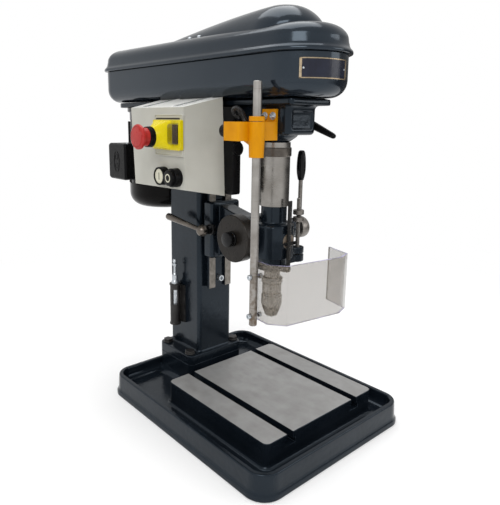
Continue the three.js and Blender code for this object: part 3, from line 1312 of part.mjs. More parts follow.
function shieldPiece() {
  const s = shield;
  const x = guardRod.radius + fit + s.thickness;
  const inside = [
    [x, s.side * 0.25], [x, -s.side * 0.75], [x + s.chamfer, -s.side * 0.75 - s.chamfer],
    [x + s.chamfer + s.front, -s.side * 0.75 - s.chamfer],
    [x + s.chamfer + s.front + s.farChamfer, -s.side * 0.75 - s.chamfer + s.farRise],
    [x + s.chamfer + s.front + s.farChamfer + s.flare, -s.side * 0.75 - s.chamfer + s.farRise + s.farSide],
  ];
  const sheet = prism(thicken(inside, s.thickness), s.height).translate(0, 0, s.bottom);
  return piece('guard_shield', cut(sheet, ...boltHoles(guardBolt.shank + fit, 0, x + s.thickness + over)), clear);
}

// Sheet outline: a folded line and its copy, moved outward with mitred corners
function thicken(line, thickness) {
  const normal = ([ax, ay], [bx, by]) => {
    const size = Math.hypot(bx - ax, by - ay);
    return [(by - ay) / size, -(bx - ax) / size];
  };
  const moved = line.map(([x, y], i) => {
    const before = normal(line[Math.max(i - 1, 0)], line[Math.max(i, 1)]);
    const after = normal(line[Math.min(i, line.length - 2)], line[Math.min(i + 1, line.length - 1)]);
    const share = thickness / (1 + before[0] * after[0] + before[1] * after[1]);
    return [x + (before[0] + after[0]) * share, y + (before[1] + after[1]) * share];
  });
  return [...line, ...moved.reverse()];
}

function guardBoltAt(name, z) {
  const b = guardBolt;
  const left = -guardRod.radius - fit;
  const right = guardRod.radius + fit * 3 + shield.thickness;
  const form = turned([
    [0, left - b.headHeight], [b.head * 0.3, left - b.headHeight], [b.head / 2, left - b.headHeight * 0.6], [b.head / 2, left],
    [b.shank, left], [b.shank, right], [b.nut / 2, right], [b.nut / 2, right + b.nutHeight * 0.6],
    [b.nut * 0.3, right + b.nutHeight], [0, right + b.nutHeight],
  ], coarse);
  form.rotateY(Math.PI / 2);
  return piece(name, form.translate(0, 0, z), zinc);
}

function guardSwitchPiece() {
  const { radius, length, x, z } = guardSwitch;
  const form = alongY(bar(radius, 0, length, medium)).translate(x, guardBracket.back + fit, z);
  return piece('guard_switch', form, darkPlastic);
}

// Corrugated cable from the gland over to the bracket's top: each point's way along x and y, and its part of the arch
const glandZ = backBox.bottom + backBox.height - gland.fromTop;
const cableShares = [
  [0, 0, 0], [0, 0.129, 0.05], [0.083, 0.293, 0.32], [0.258, 0.477, 0.74], [0.476, 0.641, 1],
  [0.694, 0.785, 1], [0.891, 0.8975, 0.68], [0.978, 0.969, 0.105],
];

function cableRoute() {
  const start = [
    -boxSide - backBox.thickness / 2, backBox.centreY - backBox.width / 2 - gland.length + over - fit, glandZ,
  ];
  const end = [guardBracket.left + cable.inset, guardBracket.back - cable.foot, guardBracket.top + fit];
  const way = cableShares.map(([across, along, up]) => [
    start[0] + (end[0] - start[0]) * across, start[1] + (end[1] - start[1]) * along, start[2] + cable.arch * up,
  ]);
  return [...way, [end[0], end[1], end[2] + cable.drop], end];
}

function corrugatedCable() {
  const path = new THREE.CatmullRomCurve3(cableRoute().map((point) => new THREE.Vector3(...point)));
  const rings = cable.ribs * 2;
  const frames = path.computeFrenetFrames(rings, false);
  const sides = 8;
  const circle = (i, radius) => {
    const centre = path.getPointAt(i / rings);
    return Array.from({ length: sides }, (_, k) => {
      const angle = (k / sides) * 2 * Math.PI;
      const point = centre.clone();
      point.addScaledVector(frames.normals[i], radius * Math.cos(angle));
      point.addScaledVector(frames.binormals[i], radius * Math.sin(angle));
      return point.toArray();
    });
  };
  const outer = Array.from({ length: rings + 1 }, (_, i) => {
    const rib = i > 2 && i < rings - 2 && i % 2 === 1;
    return circle(i, cable.radius + (rib ? cable.ribHeight : 0));
  });
  const inner = Array.from({ length: rings / cable.boreStep + 1 }, (_, i) => circle(i * cable.boreStep, cable.bore)).reverse();
  return piece('corrugated_cable', hoop([...outer, ...inner]), darkPlastic);
}

// Holder on the column's left side, and the tool that stands in it
function toolHolder() {
  const { radius, bore, bottom, height, standOff, plate, plateWidth, ring: lip, ringHeight, floor } = holder;
  const top = bottom + height;
  const cup = turned([
    [0, bottom], [lip, bottom], [lip, bottom + ringHeight], [radius, bottom + ringHeight], [radius, top - ringHeight],
    [lip, top - ringHeight], [lip, top], [bore, top], [bore, bottom + floor], [0, bottom + floor],
  ], medium);
  const back = block(standOff - plate, standOff, -plateWidth / 2, plateWidth / 2, bottom + floor, top - ringHeight);
  const bridge = block(bore + over, standOff - plate / 2, -plateWidth / 6, plateWidth / 6, bottom + floor, top - ringHeight);
  const windowCut = block(-radius - over, 0, -radius - over, -bore / 2, bottom + height / 2, top - ringHeight * 3);
  const part = piece('tool_holder', cut(join(cup, back, bridge), windowCut), darkSteel);
  part.position.set(-boxSide - standOff, holderY, 0);
  return part;
}

function storedTool() {
  const mouth = holder.bottom + holder.height;
  const { shank, stand, flangeRadius, neck, nipple, sunk } = tool;
  const free = stand;
  const top = mouth + stand;
  const form = turned([
    [0, mouth - sunk], [shank, mouth - sunk + over], [shank, mouth + free * 0.1], [flangeRadius, mouth + free * 0.13],
    [flangeRadius, mouth + free * 0.34], [nipple, mouth + free * 0.36], [neck, mouth + free * 0.42], [neck, mouth + free * 0.72],
    [flangeRadius * 0.9, mouth + free * 0.74], [flangeRadius * 0.9, mouth + free * 0.8], [neck, mouth + free * 0.82],
    [nipple, mouth + free * 0.9], [nipple * 0.8, top - over], [0, top],
  ], coarse);
  const part = piece('stored_tool', form, zinc);
  part.position.set(-boxSide - holder.standOff, holderY, 0);
  return part;
}

const press = new THREE.Group();
press.add(piece('base_casting', baseCasting(), paint));
press.add(piece('column_casting', columnCasting(), paint));
boltPlaces.forEach((place, index) => press.add(columnBoltAt(place, index)));
press.add(slideStopScrew(), toolHolder(), storedTool());
press.add(piece('head_arm', headArm(), paint), springDrum(), clockSpring(), clampLever());
press.add(pinionShaft(), leverHubPiece(), feedLeverArm(), feedGrip());
press.add(quillTube(), quillCollar(), depthScale(), depthRodPiece());
press.add(quillBearing('quill_bearing_lower', quill.bottom + bearing.lift));
press.add(quillBearing('quill_bearing_upper', quill.top - bearing.lift - bearing.width));
press.add(depthNutAt('depth_nut_lower', depthNut.lowerAt));
press.add(depthNutAt('depth_nut_upper', depthNut.lowerAt + depthNut.height + depthNut.gap));
press.add(spindleShaft(), chuckBody(), chuckSleeve(), chuckJaw(0), chuckJaw(1), chuckJaw(2));
press.add(piece('head_casting', headCasting(), paint), brightSleeve(), sleeveNutPiece(), tensionLeverPiece());
press.add(piece('belt_case', beltCaseShell(), paint), piece('belt_case_lid', beltCaseLid(), paint));
press.add(spindlePulley(), motorPulley(), driveBelt());
press.add(motorFrame(), fanCowl(), motorShaftPiece(), terminalBoxPiece());
press.add(controlBoxes());
press.add(guardBracketPiece(), guardGroup(), guardSwitchPiece(), corrugatedCable());

export default press;
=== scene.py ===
"""Looks for the benchtop drill press: finer castings, turned pieces, materials, camera and studio."""

from math import acos, atan2, cos, hypot, pi, radians, sin, sqrt

import bmesh
import bpy
from mathutils import Matrix, Vector
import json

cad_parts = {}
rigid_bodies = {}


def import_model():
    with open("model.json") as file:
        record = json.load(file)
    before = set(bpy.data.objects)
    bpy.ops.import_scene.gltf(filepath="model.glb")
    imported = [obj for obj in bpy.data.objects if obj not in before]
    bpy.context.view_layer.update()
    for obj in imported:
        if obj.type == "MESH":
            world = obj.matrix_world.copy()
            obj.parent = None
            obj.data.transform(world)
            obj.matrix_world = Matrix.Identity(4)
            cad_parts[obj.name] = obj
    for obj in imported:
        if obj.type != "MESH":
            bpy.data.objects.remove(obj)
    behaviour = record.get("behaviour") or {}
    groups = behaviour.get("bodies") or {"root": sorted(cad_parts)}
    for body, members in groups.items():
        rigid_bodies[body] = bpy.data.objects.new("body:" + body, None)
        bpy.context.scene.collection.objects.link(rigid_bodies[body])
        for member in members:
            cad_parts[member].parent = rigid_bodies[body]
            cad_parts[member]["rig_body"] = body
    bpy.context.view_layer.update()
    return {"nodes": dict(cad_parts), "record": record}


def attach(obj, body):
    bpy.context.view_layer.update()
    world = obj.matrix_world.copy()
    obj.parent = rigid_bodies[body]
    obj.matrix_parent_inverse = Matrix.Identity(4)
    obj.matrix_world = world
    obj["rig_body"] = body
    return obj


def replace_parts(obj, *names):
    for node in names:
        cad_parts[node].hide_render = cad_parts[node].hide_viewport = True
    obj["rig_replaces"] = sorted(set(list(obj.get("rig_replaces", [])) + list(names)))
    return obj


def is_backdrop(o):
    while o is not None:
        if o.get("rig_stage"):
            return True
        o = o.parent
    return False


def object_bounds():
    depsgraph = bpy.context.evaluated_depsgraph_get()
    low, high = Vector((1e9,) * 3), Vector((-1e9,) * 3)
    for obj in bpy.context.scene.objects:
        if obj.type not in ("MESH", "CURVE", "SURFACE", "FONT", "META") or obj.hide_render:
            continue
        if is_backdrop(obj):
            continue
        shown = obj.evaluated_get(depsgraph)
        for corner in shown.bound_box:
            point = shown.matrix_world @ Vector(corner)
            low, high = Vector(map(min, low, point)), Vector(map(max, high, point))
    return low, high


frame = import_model()
nodes = frame["nodes"]
scene = bpy.context.scene
MM = 0.001


# Places in millimetres, worked out from the frame
def middle(node):
    """Centre of a CAD node's box."""
    spots = [point.co / MM for point in nodes[node].data.vertices]
    return [round((min(axis) + max(axis)) / 2, 3) for axis in zip(*spots)]


SPINDLE_Y = middle("quill_sleeve")[1]
LEVER_X, PINION_Y, FEED_Z = middle("lever_hub")
ROD_X, ROD_Y, _ = middle("depth_rod")
GUARD_X, GUARD_Y, _ = middle("guard_rod")
TOOL_X, TOOL_Y, _ = middle("stored_tool")
MOTOR_Y = middle("motor_shaft")[1]
BOX_Y = middle("control_box")[1]
BOLTS = [middle(f"column_bolt_{k}")[:2] for k in (1, 2, 3, 4)]
COLUMN_Y = (BOLTS[0][1] + BOLTS[3][1]) / 2
SPINDLE, MOTOR, LEVER = (0, SPINDLE_Y, 0), (0, MOTOR_Y, 0), (LEVER_X, PINION_Y, 0)
ROD, TOOL, PINION = (ROD_X, ROD_Y, 0), (TOOL_X, TOOL_Y, 0), (0, PINION_Y, FEED_Z)


# Forms in millimetres
def circle_outline(circles, grow=0.0, steps=10):
    """Points round a convex set of circles (x, y, radius)."""
    count = len(circles)
    turns = []
    for i, (x, y, r) in enumerate(circles):
        nx, ny, nr = circles[(i + 1) % count]
        reach = hypot(nx - x, ny - y)
        turns.append(atan2(ny - y, nx - x) - acos((r - nr) / reach))
    points = []
    for i, (x, y, r) in enumerate(circles):
        start = turns[i - 1]
        turn = (turns[i] - start) % (2 * pi)
        for k in range(steps + 1):
            angle = start + turn * k / steps
            points.append((x + (r + grow) * cos(angle), y + (r + grow) * sin(angle)))
    return points


def rounded(width, depth, radius, x=0.0, y=0.0):
    a, b = width / 2 - radius, depth / 2 - radius
    return [(x + i * a, y + j * b, radius) for i, j in ((-1, -1), (1, -1), (1, 1), (-1, 1))]


def arc(size, steps=6):
    """Quarter circle as (rise, side) from flat to upright."""
    angles = [pi / 2 * k / steps for k in range(steps + 1)]
    return [(size * (1 - cos(a)), size * (1 - sin(a))) for a in angles]


def make(name, points, faces):
    mesh = bpy.data.meshes.new(name)
    mesh.from_pydata([(x * MM, y * MM, z * MM) for x, y, z in points], [], faces)
    obj = bpy.data.objects.new(name, mesh)
    scene.collection.objects.link(obj)
    shape = bmesh.new()
    shape.from_mesh(mesh)
    bmesh.ops.remove_doubles(shape, verts=shape.verts, dist=1e-7)
    bmesh.ops.recalc_face_normals(shape, faces=shape.faces)
    shape.to_mesh(mesh)
    shape.free()
    return obj


def skin(name, rings, cap=True):
    count = len(rings[0])
    points = [p for ring in rings for p in ring]
    faces = []
    for i in range(len(rings) - 1):
        for j in range(count):
            k = (j + 1) % count
            faces.append((i * count + j, i * count + k, (i + 1) * count + k, (i + 1) * count + j))
    if cap:
        faces.append(tuple(range(count))[::-1])
        faces.append(tuple(range(len(points) - count, len(points))))
    return make(name, points, faces)


def loft(name, circles, levels, steps=10):
    return skin(name, [[(x, y, z) for x, y in circle_outline(circles, grow, steps)] for z, grow in levels])


def prism(name, points, low, high):
    return skin(name, [[(x, y, z) for x, y in points] for z in (low, high)])


def block(name, x0, x1, y0, y1, z0, z1):
    return prism(name, [(x0, y0), (x1, y0), (x1, y1), (x0, y1)], z0, z1)


TURNS = {
    "X": lambda x, y, z: (z, y, -x), "-X": lambda x, y, z: (-z, y, x),
    "Y": lambda x, y, z: (x, z, -y), "-Y": lambda x, y, z: (x, -z, y), "Z": lambda x, y, z: (x, y, z),
}


def turned(name, profile, sides=64, axis="Z", at=(0, 0, 0)):
    """Rows of (radius, height, depth of flutes if any); a profile that ends at its start is a ring."""
    loop = profile[0] == profile[-1]
    rows = profile[:-1] if loop else profile
    points, faces = [], []
    for r, h, *depth in rows:
        for k in range(sides):
            a = 2 * pi * k / sides
            reach = r - sum(depth) * (k % 2)
            points.append((reach * cos(a), reach * sin(a), h))
    for i in range(len(rows) if loop else len(rows) - 1):
        m, n = i * sides, ((i + 1) % len(rows)) * sides
        for k in range(sides):
            faces.append((m + k, m + (k + 1) % sides, n + (k + 1) % sides, n + k))
    return make(name, [tuple(a + b for a, b in zip(TURNS[axis](*point), at)) for point in points], faces)


def rod(name, radius, low, high, sides=32, axis="Z", at=(0, 0, 0), edge=0.0):
    ends = [(radius, low), (radius, high)]
    if edge:
        ends = [(radius - edge, low), (radius, low + edge), (radius, high - edge), (radius - edge, high)]
    return turned(name, [(0, low), *ends, (0, high)], sides, axis, at)


def hoop(name, outer, inner, low, high):
    """Flat band between two outlines with equal counts of points."""
    rings = [[(x, y, z) for x, y in ring] for ring,
             z in ((outer, low), (outer, high), (inner, high), (inner, low))]
    return skin(name, rings + rings[:1], cap=False)


def moved(obj, *steps):
    """The object's mesh moved by matrices, the last one first."""
    for step in reversed(steps):
        obj.data.transform(step)
    return obj


def shift(x, y, z):
    return Matrix.Translation((x * MM, y * MM, z * MM))


def spin(degrees, axis):
    return Matrix.Rotation(radians(degrees), 4, axis)


def baked(obj):
    """The object's mesh with its modifiers applied."""
    graph = bpy.context.evaluated_depsgraph_get()
    mesh = bpy.data.meshes.new_from_object(obj.evaluated_get(graph))
    obj.modifiers.clear()
    old, obj.data = obj.data, mesh
    bpy.data.meshes.remove(old)
    return obj


def combine(obj, others, operation):
    for other in others:
        step = obj.modifiers.new("step", "BOOLEAN")
        step.operation, step.object, step.solver = operation, other, "EXACT"
        baked(obj)
        bpy.data.objects.remove(other)
    return obj


def cut(obj, *others):
    return combine(obj, others, "DIFFERENCE")


def join(obj, *others):
    return combine(obj, others, "UNION")


def placed(name, shape):
    """New object with the mesh of a bmesh."""
    mesh = bpy.data.meshes.new(name)
    shape.to_mesh(mesh)
    shape.free()
    obj = bpy.data.objects.new(name, mesh)
    scene.collection.objects.link(obj)
    return obj


def merged(name, *objs):
    """Several closed forms as one piece."""
    shape = bmesh.new()
    for obj in objs:
        shape.from_mesh(obj.data)
        bpy.data.objects.remove(obj)
    return placed(name, shape)


def copied(name, node):
    """Welded copy of a CAD node, to be worked into a finer piece."""
    shape = bmesh.new()
    shape.from_mesh(nodes[node].data)
    bmesh.ops.remove_doubles(shape, verts=shape.verts, dist=2e-6)
    return placed(name, shape)


def softened(name, node, voxel, rounds):
    """Casting with rounded corners and fillets, from a copy of the CAD node."""
    obj = copied(name, node)
    remesh = obj.modifiers.new("voxels", "REMESH")
    remesh.mode, remesh.voxel_size = "VOXEL", voxel * MM
    smooth = obj.modifiers.new("smooth", "SMOOTH")
    smooth.factor, smooth.iterations = 0.5, rounds
    baked(obj)
    obj.modifiers.new("thin", "DECIMATE").ratio = 0.35
    baked(obj)
    obj.data.shade_smooth()
    return obj


def edges(obj, width, segments=2, angle=32):
    bevel = obj.modifiers.new("bevel", "BEVEL")
    bevel.width, bevel.segments, bevel.limit_method = width * MM, segments, "ANGLE"
    bevel.angle_limit = radians(angle)
    bevel.harden_normals = False
    obj.data.shade_smooth()
    even = obj.modifiers.new("even", "WEIGHTED_NORMAL")
    even.keep_sharp = True
    return obj


def sharp(obj, angle=35):
    shape = bmesh.new()
    shape.from_mesh(obj.data)
    for face in shape.faces:
        face.smooth = True
    for edge in shape.edges:
        edge.smooth = len(edge.link_faces) == 2 and edge.calc_face_angle(0) < radians(angle)
    shape.to_mesh(obj.data)
    shape.free()
    return obj


# Materials
def material(name):
    mat = bpy.data.materials.new(name)
    mat.use_nodes = True
    return mat, mat.node_tree, mat.node_tree.nodes["Principled BSDF"]


def feed(tree, socket, value):
    """Gives a socket a constant or another node's output."""
    if isinstance(value, bpy.types.NodeSocket):
        tree.links.new(value, socket)
    else:
        socket.default_value = (*value, 1) if socket.type == "RGBA" else value


def add(tree, kind, fed=None, **settings):
    """New node with its settings and what its inputs get, by name or number."""
    node = tree.nodes.new(f"ShaderNode{kind}")
    for key, value in settings.items():
        setattr(node, key, value)
    for key, value in (fed or {}).items():
        feed(tree, node.inputs[key], value)
    return node


def noise(tree, scale, detail=4.0, stretch=(1, 1, 1), roughness=0.5):
    place = add(tree, "TexCoord").outputs["Object"]
    mapping = add(tree, "Mapping", {"Vector": place, "Scale": stretch}).outputs["Vector"]
    fed = {"Vector": mapping, "Scale": scale, "Detail": detail, "Roughness": roughness}
    return add(tree, "TexNoise", fed).outputs["Fac"]


def spread(tree, value, low, high, start=0.3, end=0.7, way="LINEAR"):
    """Takes start…end of a value to low…high."""
    fed = {"Value": value, "From Min": start, "From Max": end, "To Min": low, "To Max": high}
    return add(tree, "MapRange", fed, interpolation_type=way).outputs["Result"]


def blend(tree, share, a, b):
    return add(tree, "Mix", {6: a, 7: b, 0: share}, data_type="RGBA").outputs[2]


def reckon(tree, operation, a, b):
    return add(tree, "Math", {0: a, 1: b}, operation=operation).outputs[0]


def multiply(tree, a, b):
    return reckon(tree, "MULTIPLY", a, b)


def relief(tree, shader, value, strength, distance):
    bump = add(tree, "Bump", {"Strength": strength, "Distance": distance * MM, "Height": value})
    tree.links.new(bump.outputs["Normal"], shader.inputs["Normal"])


def edge_mask(tree, radius):
    """1 on edges, where the rounded normal leaves the true one; the edge colour goes there: rubbed paint, and
    on the enamels partly a painted highlight.
    """
    rounded_normal = add(tree, "Bevel", {"Radius": radius * MM}, samples=4).outputs["Normal"]
    normal = add(tree, "NewGeometry").outputs["Normal"]
    dot = add(tree, "VectorMath", {0: rounded_normal, 1: normal}, operation="DOT_PRODUCT").outputs["Value"]
    return spread(tree, dot, 0, 1, 0.97, 0.85)


def finish(
    name, dark, light, rough, metallic=0.0, scale=60, grain=1500, depth=0.03, stretch=(1, 1, 1), edge_wear_and_highlight=None,
    edge_reach=1.0, coat=0.0, ior=1.45, tint=(1, 1, 1), brushed=0.0, rust=None, rust_from=0.0, rust_to=0.0
):
    """Surface with cloudy colour, uneven gloss and fine relief, and an edge colour (rubbed paint, on the
    enamels partly a painted highlight) or rust where given.
    """
    mat, tree, shader = material(name)
    color = blend(tree, spread(tree, noise(tree, scale, 5.0), 0, 1), dark, light)
    gloss = noise(tree, scale * 2.3, 4.0, stretch)
    if edge_wear_and_highlight:
        patches = spread(tree, noise(tree, scale * 4, 5.0), 0, 1, 0.42, 0.62)
        color = blend(tree, multiply(tree, edge_mask(tree, edge_reach), patches), color, edge_wear_and_highlight)
    if rust:
        height = add(tree, "SeparateXYZ", {0: add(tree, "TexCoord").outputs["Object"]}).outputs["Z"]
        lower = spread(tree, height, 0.0, 0.9, rust_from * MM, rust_to * MM)
        stains = spread(tree, noise(tree, 160, 6.0), 0.35, 1.0, 0.40, 0.60)
        scores = spread(tree, noise(tree, 90, 3.0, (0.25, 0.25, 5)), 0.0, 0.5, 0.63, 0.70)
        color = blend(tree, scores, blend(tree, multiply(tree, lower, stains), color, rust), rust)
    tree.links.new(color, shader.inputs["Base Color"])
    tree.links.new(spread(tree, gloss, rough * 0.75, rough * 1.3), shader.inputs["Roughness"])
    for key, value in (("Metallic", metallic), ("IOR", ior), ("Coat Weight", coat), ("Coat Roughness", 0.08),
                       ("Specular Tint", tint), ("Anisotropic", brushed)):
        feed(tree, shader.inputs[key], value)
    relief(tree, shader, noise(tree, grain, 3.0, stretch), 0.6, depth)
    return mat


# Enamels: the bluish specular tint is a painted sky reflection, and the bluish edge colour is partly rubbed
# paint and partly a painted highlight
PAINTED_SKY_SHEEN = (0.7, 0.85, 1.0)
paint = finish("casting_enamel", (0.004, 0.0062, 0.0095), (0.008, 0.0115, 0.0165), 0.17, scale=18, grain=110,
               depth=0.45, edge_wear_and_highlight=(0.07, 0.09, 0.115), ior=1.38, tint=PAINTED_SKY_SHEEN)
cover = finish("cover_enamel", (0.007, 0.01, 0.015), (0.01, 0.014, 0.02), 0.15, scale=14, grain=45,
               depth=0.28, edge_wear_and_highlight=(0.07, 0.09, 0.115), edge_reach=0.7, ior=1.53, tint=PAINTED_SKY_SHEEN)
table_steel = finish("table_steel", (0.305, 0.3, 0.293), (0.372, 0.37, 0.366), 0.48, 0.35, scale=42,
                     grain=1300, depth=0.1, stretch=(1, 0.3, 1))
sleeve_steel = finish("sleeve_steel", (0.22, 0.205, 0.187), (0.34, 0.325, 0.305), 0.25, 1.0, scale=30,
                      grain=1400, depth=0.006, stretch=(0.02, 0.02, 1), brushed=0.75)
ground_steel = finish("ground_steel", (0.4, 0.385, 0.36), (0.55, 0.53, 0.5), 0.3, 0.85, scale=40, grain=900,
                      depth=0.012, stretch=(0.05, 0.05, 1))
rod_steel = finish("rod_steel", (0.27, 0.255, 0.235), (0.43, 0.415, 0.395), 0.34, 0.8, scale=30, grain=700,
                   stretch=(1, 1, 0.15), rust=(0.11, 0.075, 0.045), rust_from=380, rust_to=215)
slide_steel = finish("slide_steel", (0.16, 0.145, 0.125), (0.31, 0.285, 0.255), 0.42, 0.6, scale=150,
                     grain=900, depth=0.04, stretch=(1, 1, 0.1))
nut_steel = finish("nut_steel", (0.075, 0.066, 0.058), (0.14, 0.125, 0.11), 0.36, 0.85, grain=1200)
chuck_steel = finish("chuck_steel", (0.17, 0.16, 0.147), (0.33, 0.315, 0.295), 0.28, 0.9, grain=900,
                     stretch=(1, 1, 0.4))
dark_steel = finish("dark_steel", (0.022, 0.021, 0.021), (0.045, 0.043, 0.042), 0.36, 0.5, grain=1200,
                    depth=0.04, edge_wear_and_highlight=(0.3, 0.29, 0.28), edge_reach=0.5)
lever_steel = finish("lever_steel", (0.1, 0.086, 0.074), (0.19, 0.168, 0.148), 0.3, 0.9, scale=40, grain=900,
                     edge_wear_and_highlight=(0.45, 0.41, 0.37), edge_reach=0.7)
drum_steel = finish("drum_steel", (0.012, 0.01, 0.0085), (0.02, 0.017, 0.0145), 0.3, 0.1, scale=50,
                    edge_wear_and_highlight=(0.13, 0.12, 0.105), edge_reach=0.4, ior=1.33, tint=(0.75, 0.74, 0.72))
bronze = finish("bronze_disc", (0.16, 0.125, 0.092), (0.26, 0.21, 0.165), 0.4, 0.4, grain=1200, depth=0.02,
                stretch=(1, 1, 0.2))
gun_steel = finish("gun_steel", (0.008, 0.0078, 0.0075), (0.016, 0.0152, 0.0145), 0.34, 0.1,
                   edge_wear_and_highlight=(0.11, 0.105, 0.1), edge_reach=0.4, ior=1.35)
grey_steel = finish("grey_steel", (0.15, 0.138, 0.125), (0.27, 0.25, 0.23), 0.34, 0.8, scale=70, grain=1100)
zinc = finish("zinc_plate", (0.42, 0.45, 0.48), (0.58, 0.61, 0.64), 0.3, 0.85, scale=120, depth=0.02)
thread_steel = finish("thread_steel", (0.2, 0.19, 0.175), (0.32, 0.305, 0.285), 0.36, 0.8, scale=120,
                      depth=0.02)
alloy = finish("pulley_alloy", (0.5, 0.5, 0.5), (0.6, 0.6, 0.61), 0.38, 0.9, stretch=(0.1, 0.1, 1))
brass = finish("brass_edge", (0.3, 0.225, 0.14), (0.42, 0.335, 0.225), 0.3, 0.7, depth=0.02)
plate_blue = finish("plate_blue", (0.0055, 0.007, 0.018), (0.01, 0.013, 0.03), 0.2, depth=0.02, ior=1.4)
mark_grey = finish("mark_grey", (0.28, 0.27, 0.26), (0.36, 0.35, 0.34), 0.5, scale=200, grain=2500,
                   depth=0.01)
black = finish("black_plastic", (0.003, 0.003, 0.0034), (0.006, 0.006, 0.0064), 0.33, grain=1400, depth=0.05,
               edge_wear_and_highlight=(0.024, 0.024, 0.026), edge_reach=0.5, ior=1.25, tint=(0.5, 0.5, 0.52))
cable_black = finish("cable_black", (0.006, 0.006, 0.0065), (0.012, 0.012, 0.0125), 0.25, grain=1400,
                     edge_wear_and_highlight=(0.16, 0.16, 0.17), edge_reach=0.3, ior=1.4)
gloss_black = finish("gloss_black", (0.0035, 0.0035, 0.004), (0.0065, 0.0065, 0.007), 0.14, grain=600,
                     depth=0.015, ior=1.33, tint=(0.7, 0.7, 0.72))
rubber = finish("belt_rubber", (0.014, 0.014, 0.014), (0.022, 0.021, 0.02), 0.75, scale=120, grain=2200,
                depth=0.08)
grey_box = finish("box_grey", (0.505, 0.5, 0.445), (0.565, 0.56, 0.505), 0.4, scale=22, grain=2400,
                  depth=0.06, edge_wear_and_highlight=(0.66, 0.65, 0.6), edge_reach=0.7, ior=1.35)
# Lighter grey for the box's upward faces: painted light falling from above
box_light = finish("box_light", (0.7, 0.7, 0.67), (0.77, 0.77, 0.74), 0.4, scale=22, grain=2400, depth=0.06,
                   ior=1.4)
motor_black = finish(
    "motor_enamel", (0.0032, 0.003, 0.003), (0.0058, 0.0054, 0.0052), 0.2, scale=30, grain=300, depth=0.08,
    edge_wear_and_highlight=(0.04, 0.038, 0.036), edge_reach=0.8, ior=1.28, tint=(0.45, 0.44, 0.44)
)
# Lighter, glossy grey for the ribs on the box's top; the lighter colour is a painted highlight
box_gloss = finish("box_gloss", (0.66, 0.67, 0.655), (0.72, 0.73, 0.715), 0.1, scale=22, grain=2400,
                   depth=0.02, coat=0.6)
orange = finish("guard_orange", (0.66, 0.262, 0.0012), (0.75, 0.315, 0.0025), 0.36, scale=40, grain=520,
                depth=0.18, edge_wear_and_highlight=(0.38, 0.15, 0.01), edge_reach=0.45, ior=1.25)
yellow = finish("flap_yellow", (0.7, 0.56, 0.001), (0.77, 0.64, 0.002), 0.26, grain=1600,
                edge_wear_and_highlight=(0.85, 0.77, 0.15), edge_reach=0.5, ior=1.3)
red = finish("stop_red", (0.42, 0.02, 0.018), (0.5, 0.03, 0.026), 0.32, scale=70, edge_wear_and_highlight=(0.66, 0.16, 0.13),
             edge_reach=0.5, ior=1.38)
dark_brown = finish("dark_brown", (0.012, 0.008, 0.004), (0.022, 0.015, 0.008), 0.4, depth=0.02, ior=1.3)
white = finish("button_white", (0.66, 0.64, 0.5), (0.72, 0.7, 0.56), 0.35, scale=80, depth=0.02)


def sheet_material(name, tint, alpha, rough=0.08, speckle=30):
    mat, tree, shader = material(name)
    clouds = spread(tree, noise(tree, speckle, 5.0, roughness=0.75), 0, 1, 0.42, 0.58)
    dull = tuple(share * 0.2 for share in tint)
    tree.links.new(blend(tree, clouds, tint, dull), shader.inputs["Base Color"])
    tree.links.new(spread(tree, noise(tree, 90, 5.0), rough * 0.6, rough * 2.4), shader.inputs["Roughness"])
    feed(tree, shader.inputs["Alpha"], alpha)
    feed(tree, shader.inputs["IOR"], 1.49)
    relief(tree, shader, noise(tree, 300, 2.0), 0.3, 0.02)
    return mat


clear = sheet_material("clear_sheet", (0.42, 0.36, 0.29), 0.34, 0.1, 420)
# The sheet's cut edges get a bright bluish colour, a painted highlight, and its folds a dark brown, painted
# shade
cut_edge = sheet_material("cut_edge", (0.62, 0.58, 0.92), 0.85, 0.2)
fold_edge = sheet_material("fold_edge", (0.1, 0.075, 0.05), 0.85, 0.2)
smoked = sheet_material("smoked_window", (0.1, 0.06, 0.012), 0.42, 0.05)

MATERIALS = {
    "casting_paint": paint, "cover_paint": cover, "bright_steel": ground_steel, "dark_steel": dark_steel,
    "zinc_steel": zinc, "pulley_alloy": alloy, "black_plastic": black, "cable_plastic": cable_black,
    "belt_rubber": rubber, "box_plastic": grey_box, "guard_orange": orange, "flap_yellow": yellow,
    "stop_red": red, "button_white": white, "clear_sheet": clear, "smoked_sheet": smoked
}
SLOTS = {part["node"]: part["material_slot"] for part in frame["record"]["subparts"]}
BODY = {node: obj["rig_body"] for node, obj in nodes.items()}


def paint_over(obj, mat):
    obj.data.materials.clear()
    obj.data.materials.append(mat)


def dress(obj, replaced, mat=None):
    """Places a finer piece in the body of the nodes it stands for, with their finish."""
    names = [replaced] if isinstance(replaced, str) else list(replaced)
    paint_over(obj, mat or MATERIALS[SLOTS[names[0]]])
    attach(obj, BODY[names[0]])
    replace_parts(obj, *names)
    return obj


def detail(obj, node, mat, slot=None):
    """Adds a small piece that moves with a node."""
    paint_over(obj, mat)
    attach(obj, BODY[node])
    return obj


def paint_faces(obj, mat, test):
    """Gives a second material to the faces that pass a test of centre in millimetres and normal."""
    obj.data.materials.append(mat)
    index = len(obj.data.materials) - 1
    for face in obj.data.polygons:
        if test(face.center / MM, face.normal):
            face.material_index = index


def stations(circles, grow, bend=22, run=36):
    """Outline of circles with points along its straight runs too."""
    ring = circle_outline(circles, grow, bend)
    points = []
    for i in range(len(circles)):
        part = ring[i * (bend + 1):(i + 1) * (bend + 1)]
        points += part
        (ax, ay), (bx, by) = part[-1], ring[((i + 1) * (bend + 1)) % len(ring)]
        points += [(ax + (bx - ax) * k / run, ay + (by - ay) * k / run) for k in range(1, run)]
    return points


# Base: foot, tray, ground table with T-slots and the column's seat
TABLE_TOP, TABLE_Y, TABLE_BACK, SLOT_X = 58.3, -48.25, 82, 79.5
FLANGE = rounded(132, 108, 12, 0, COLUMN_Y)


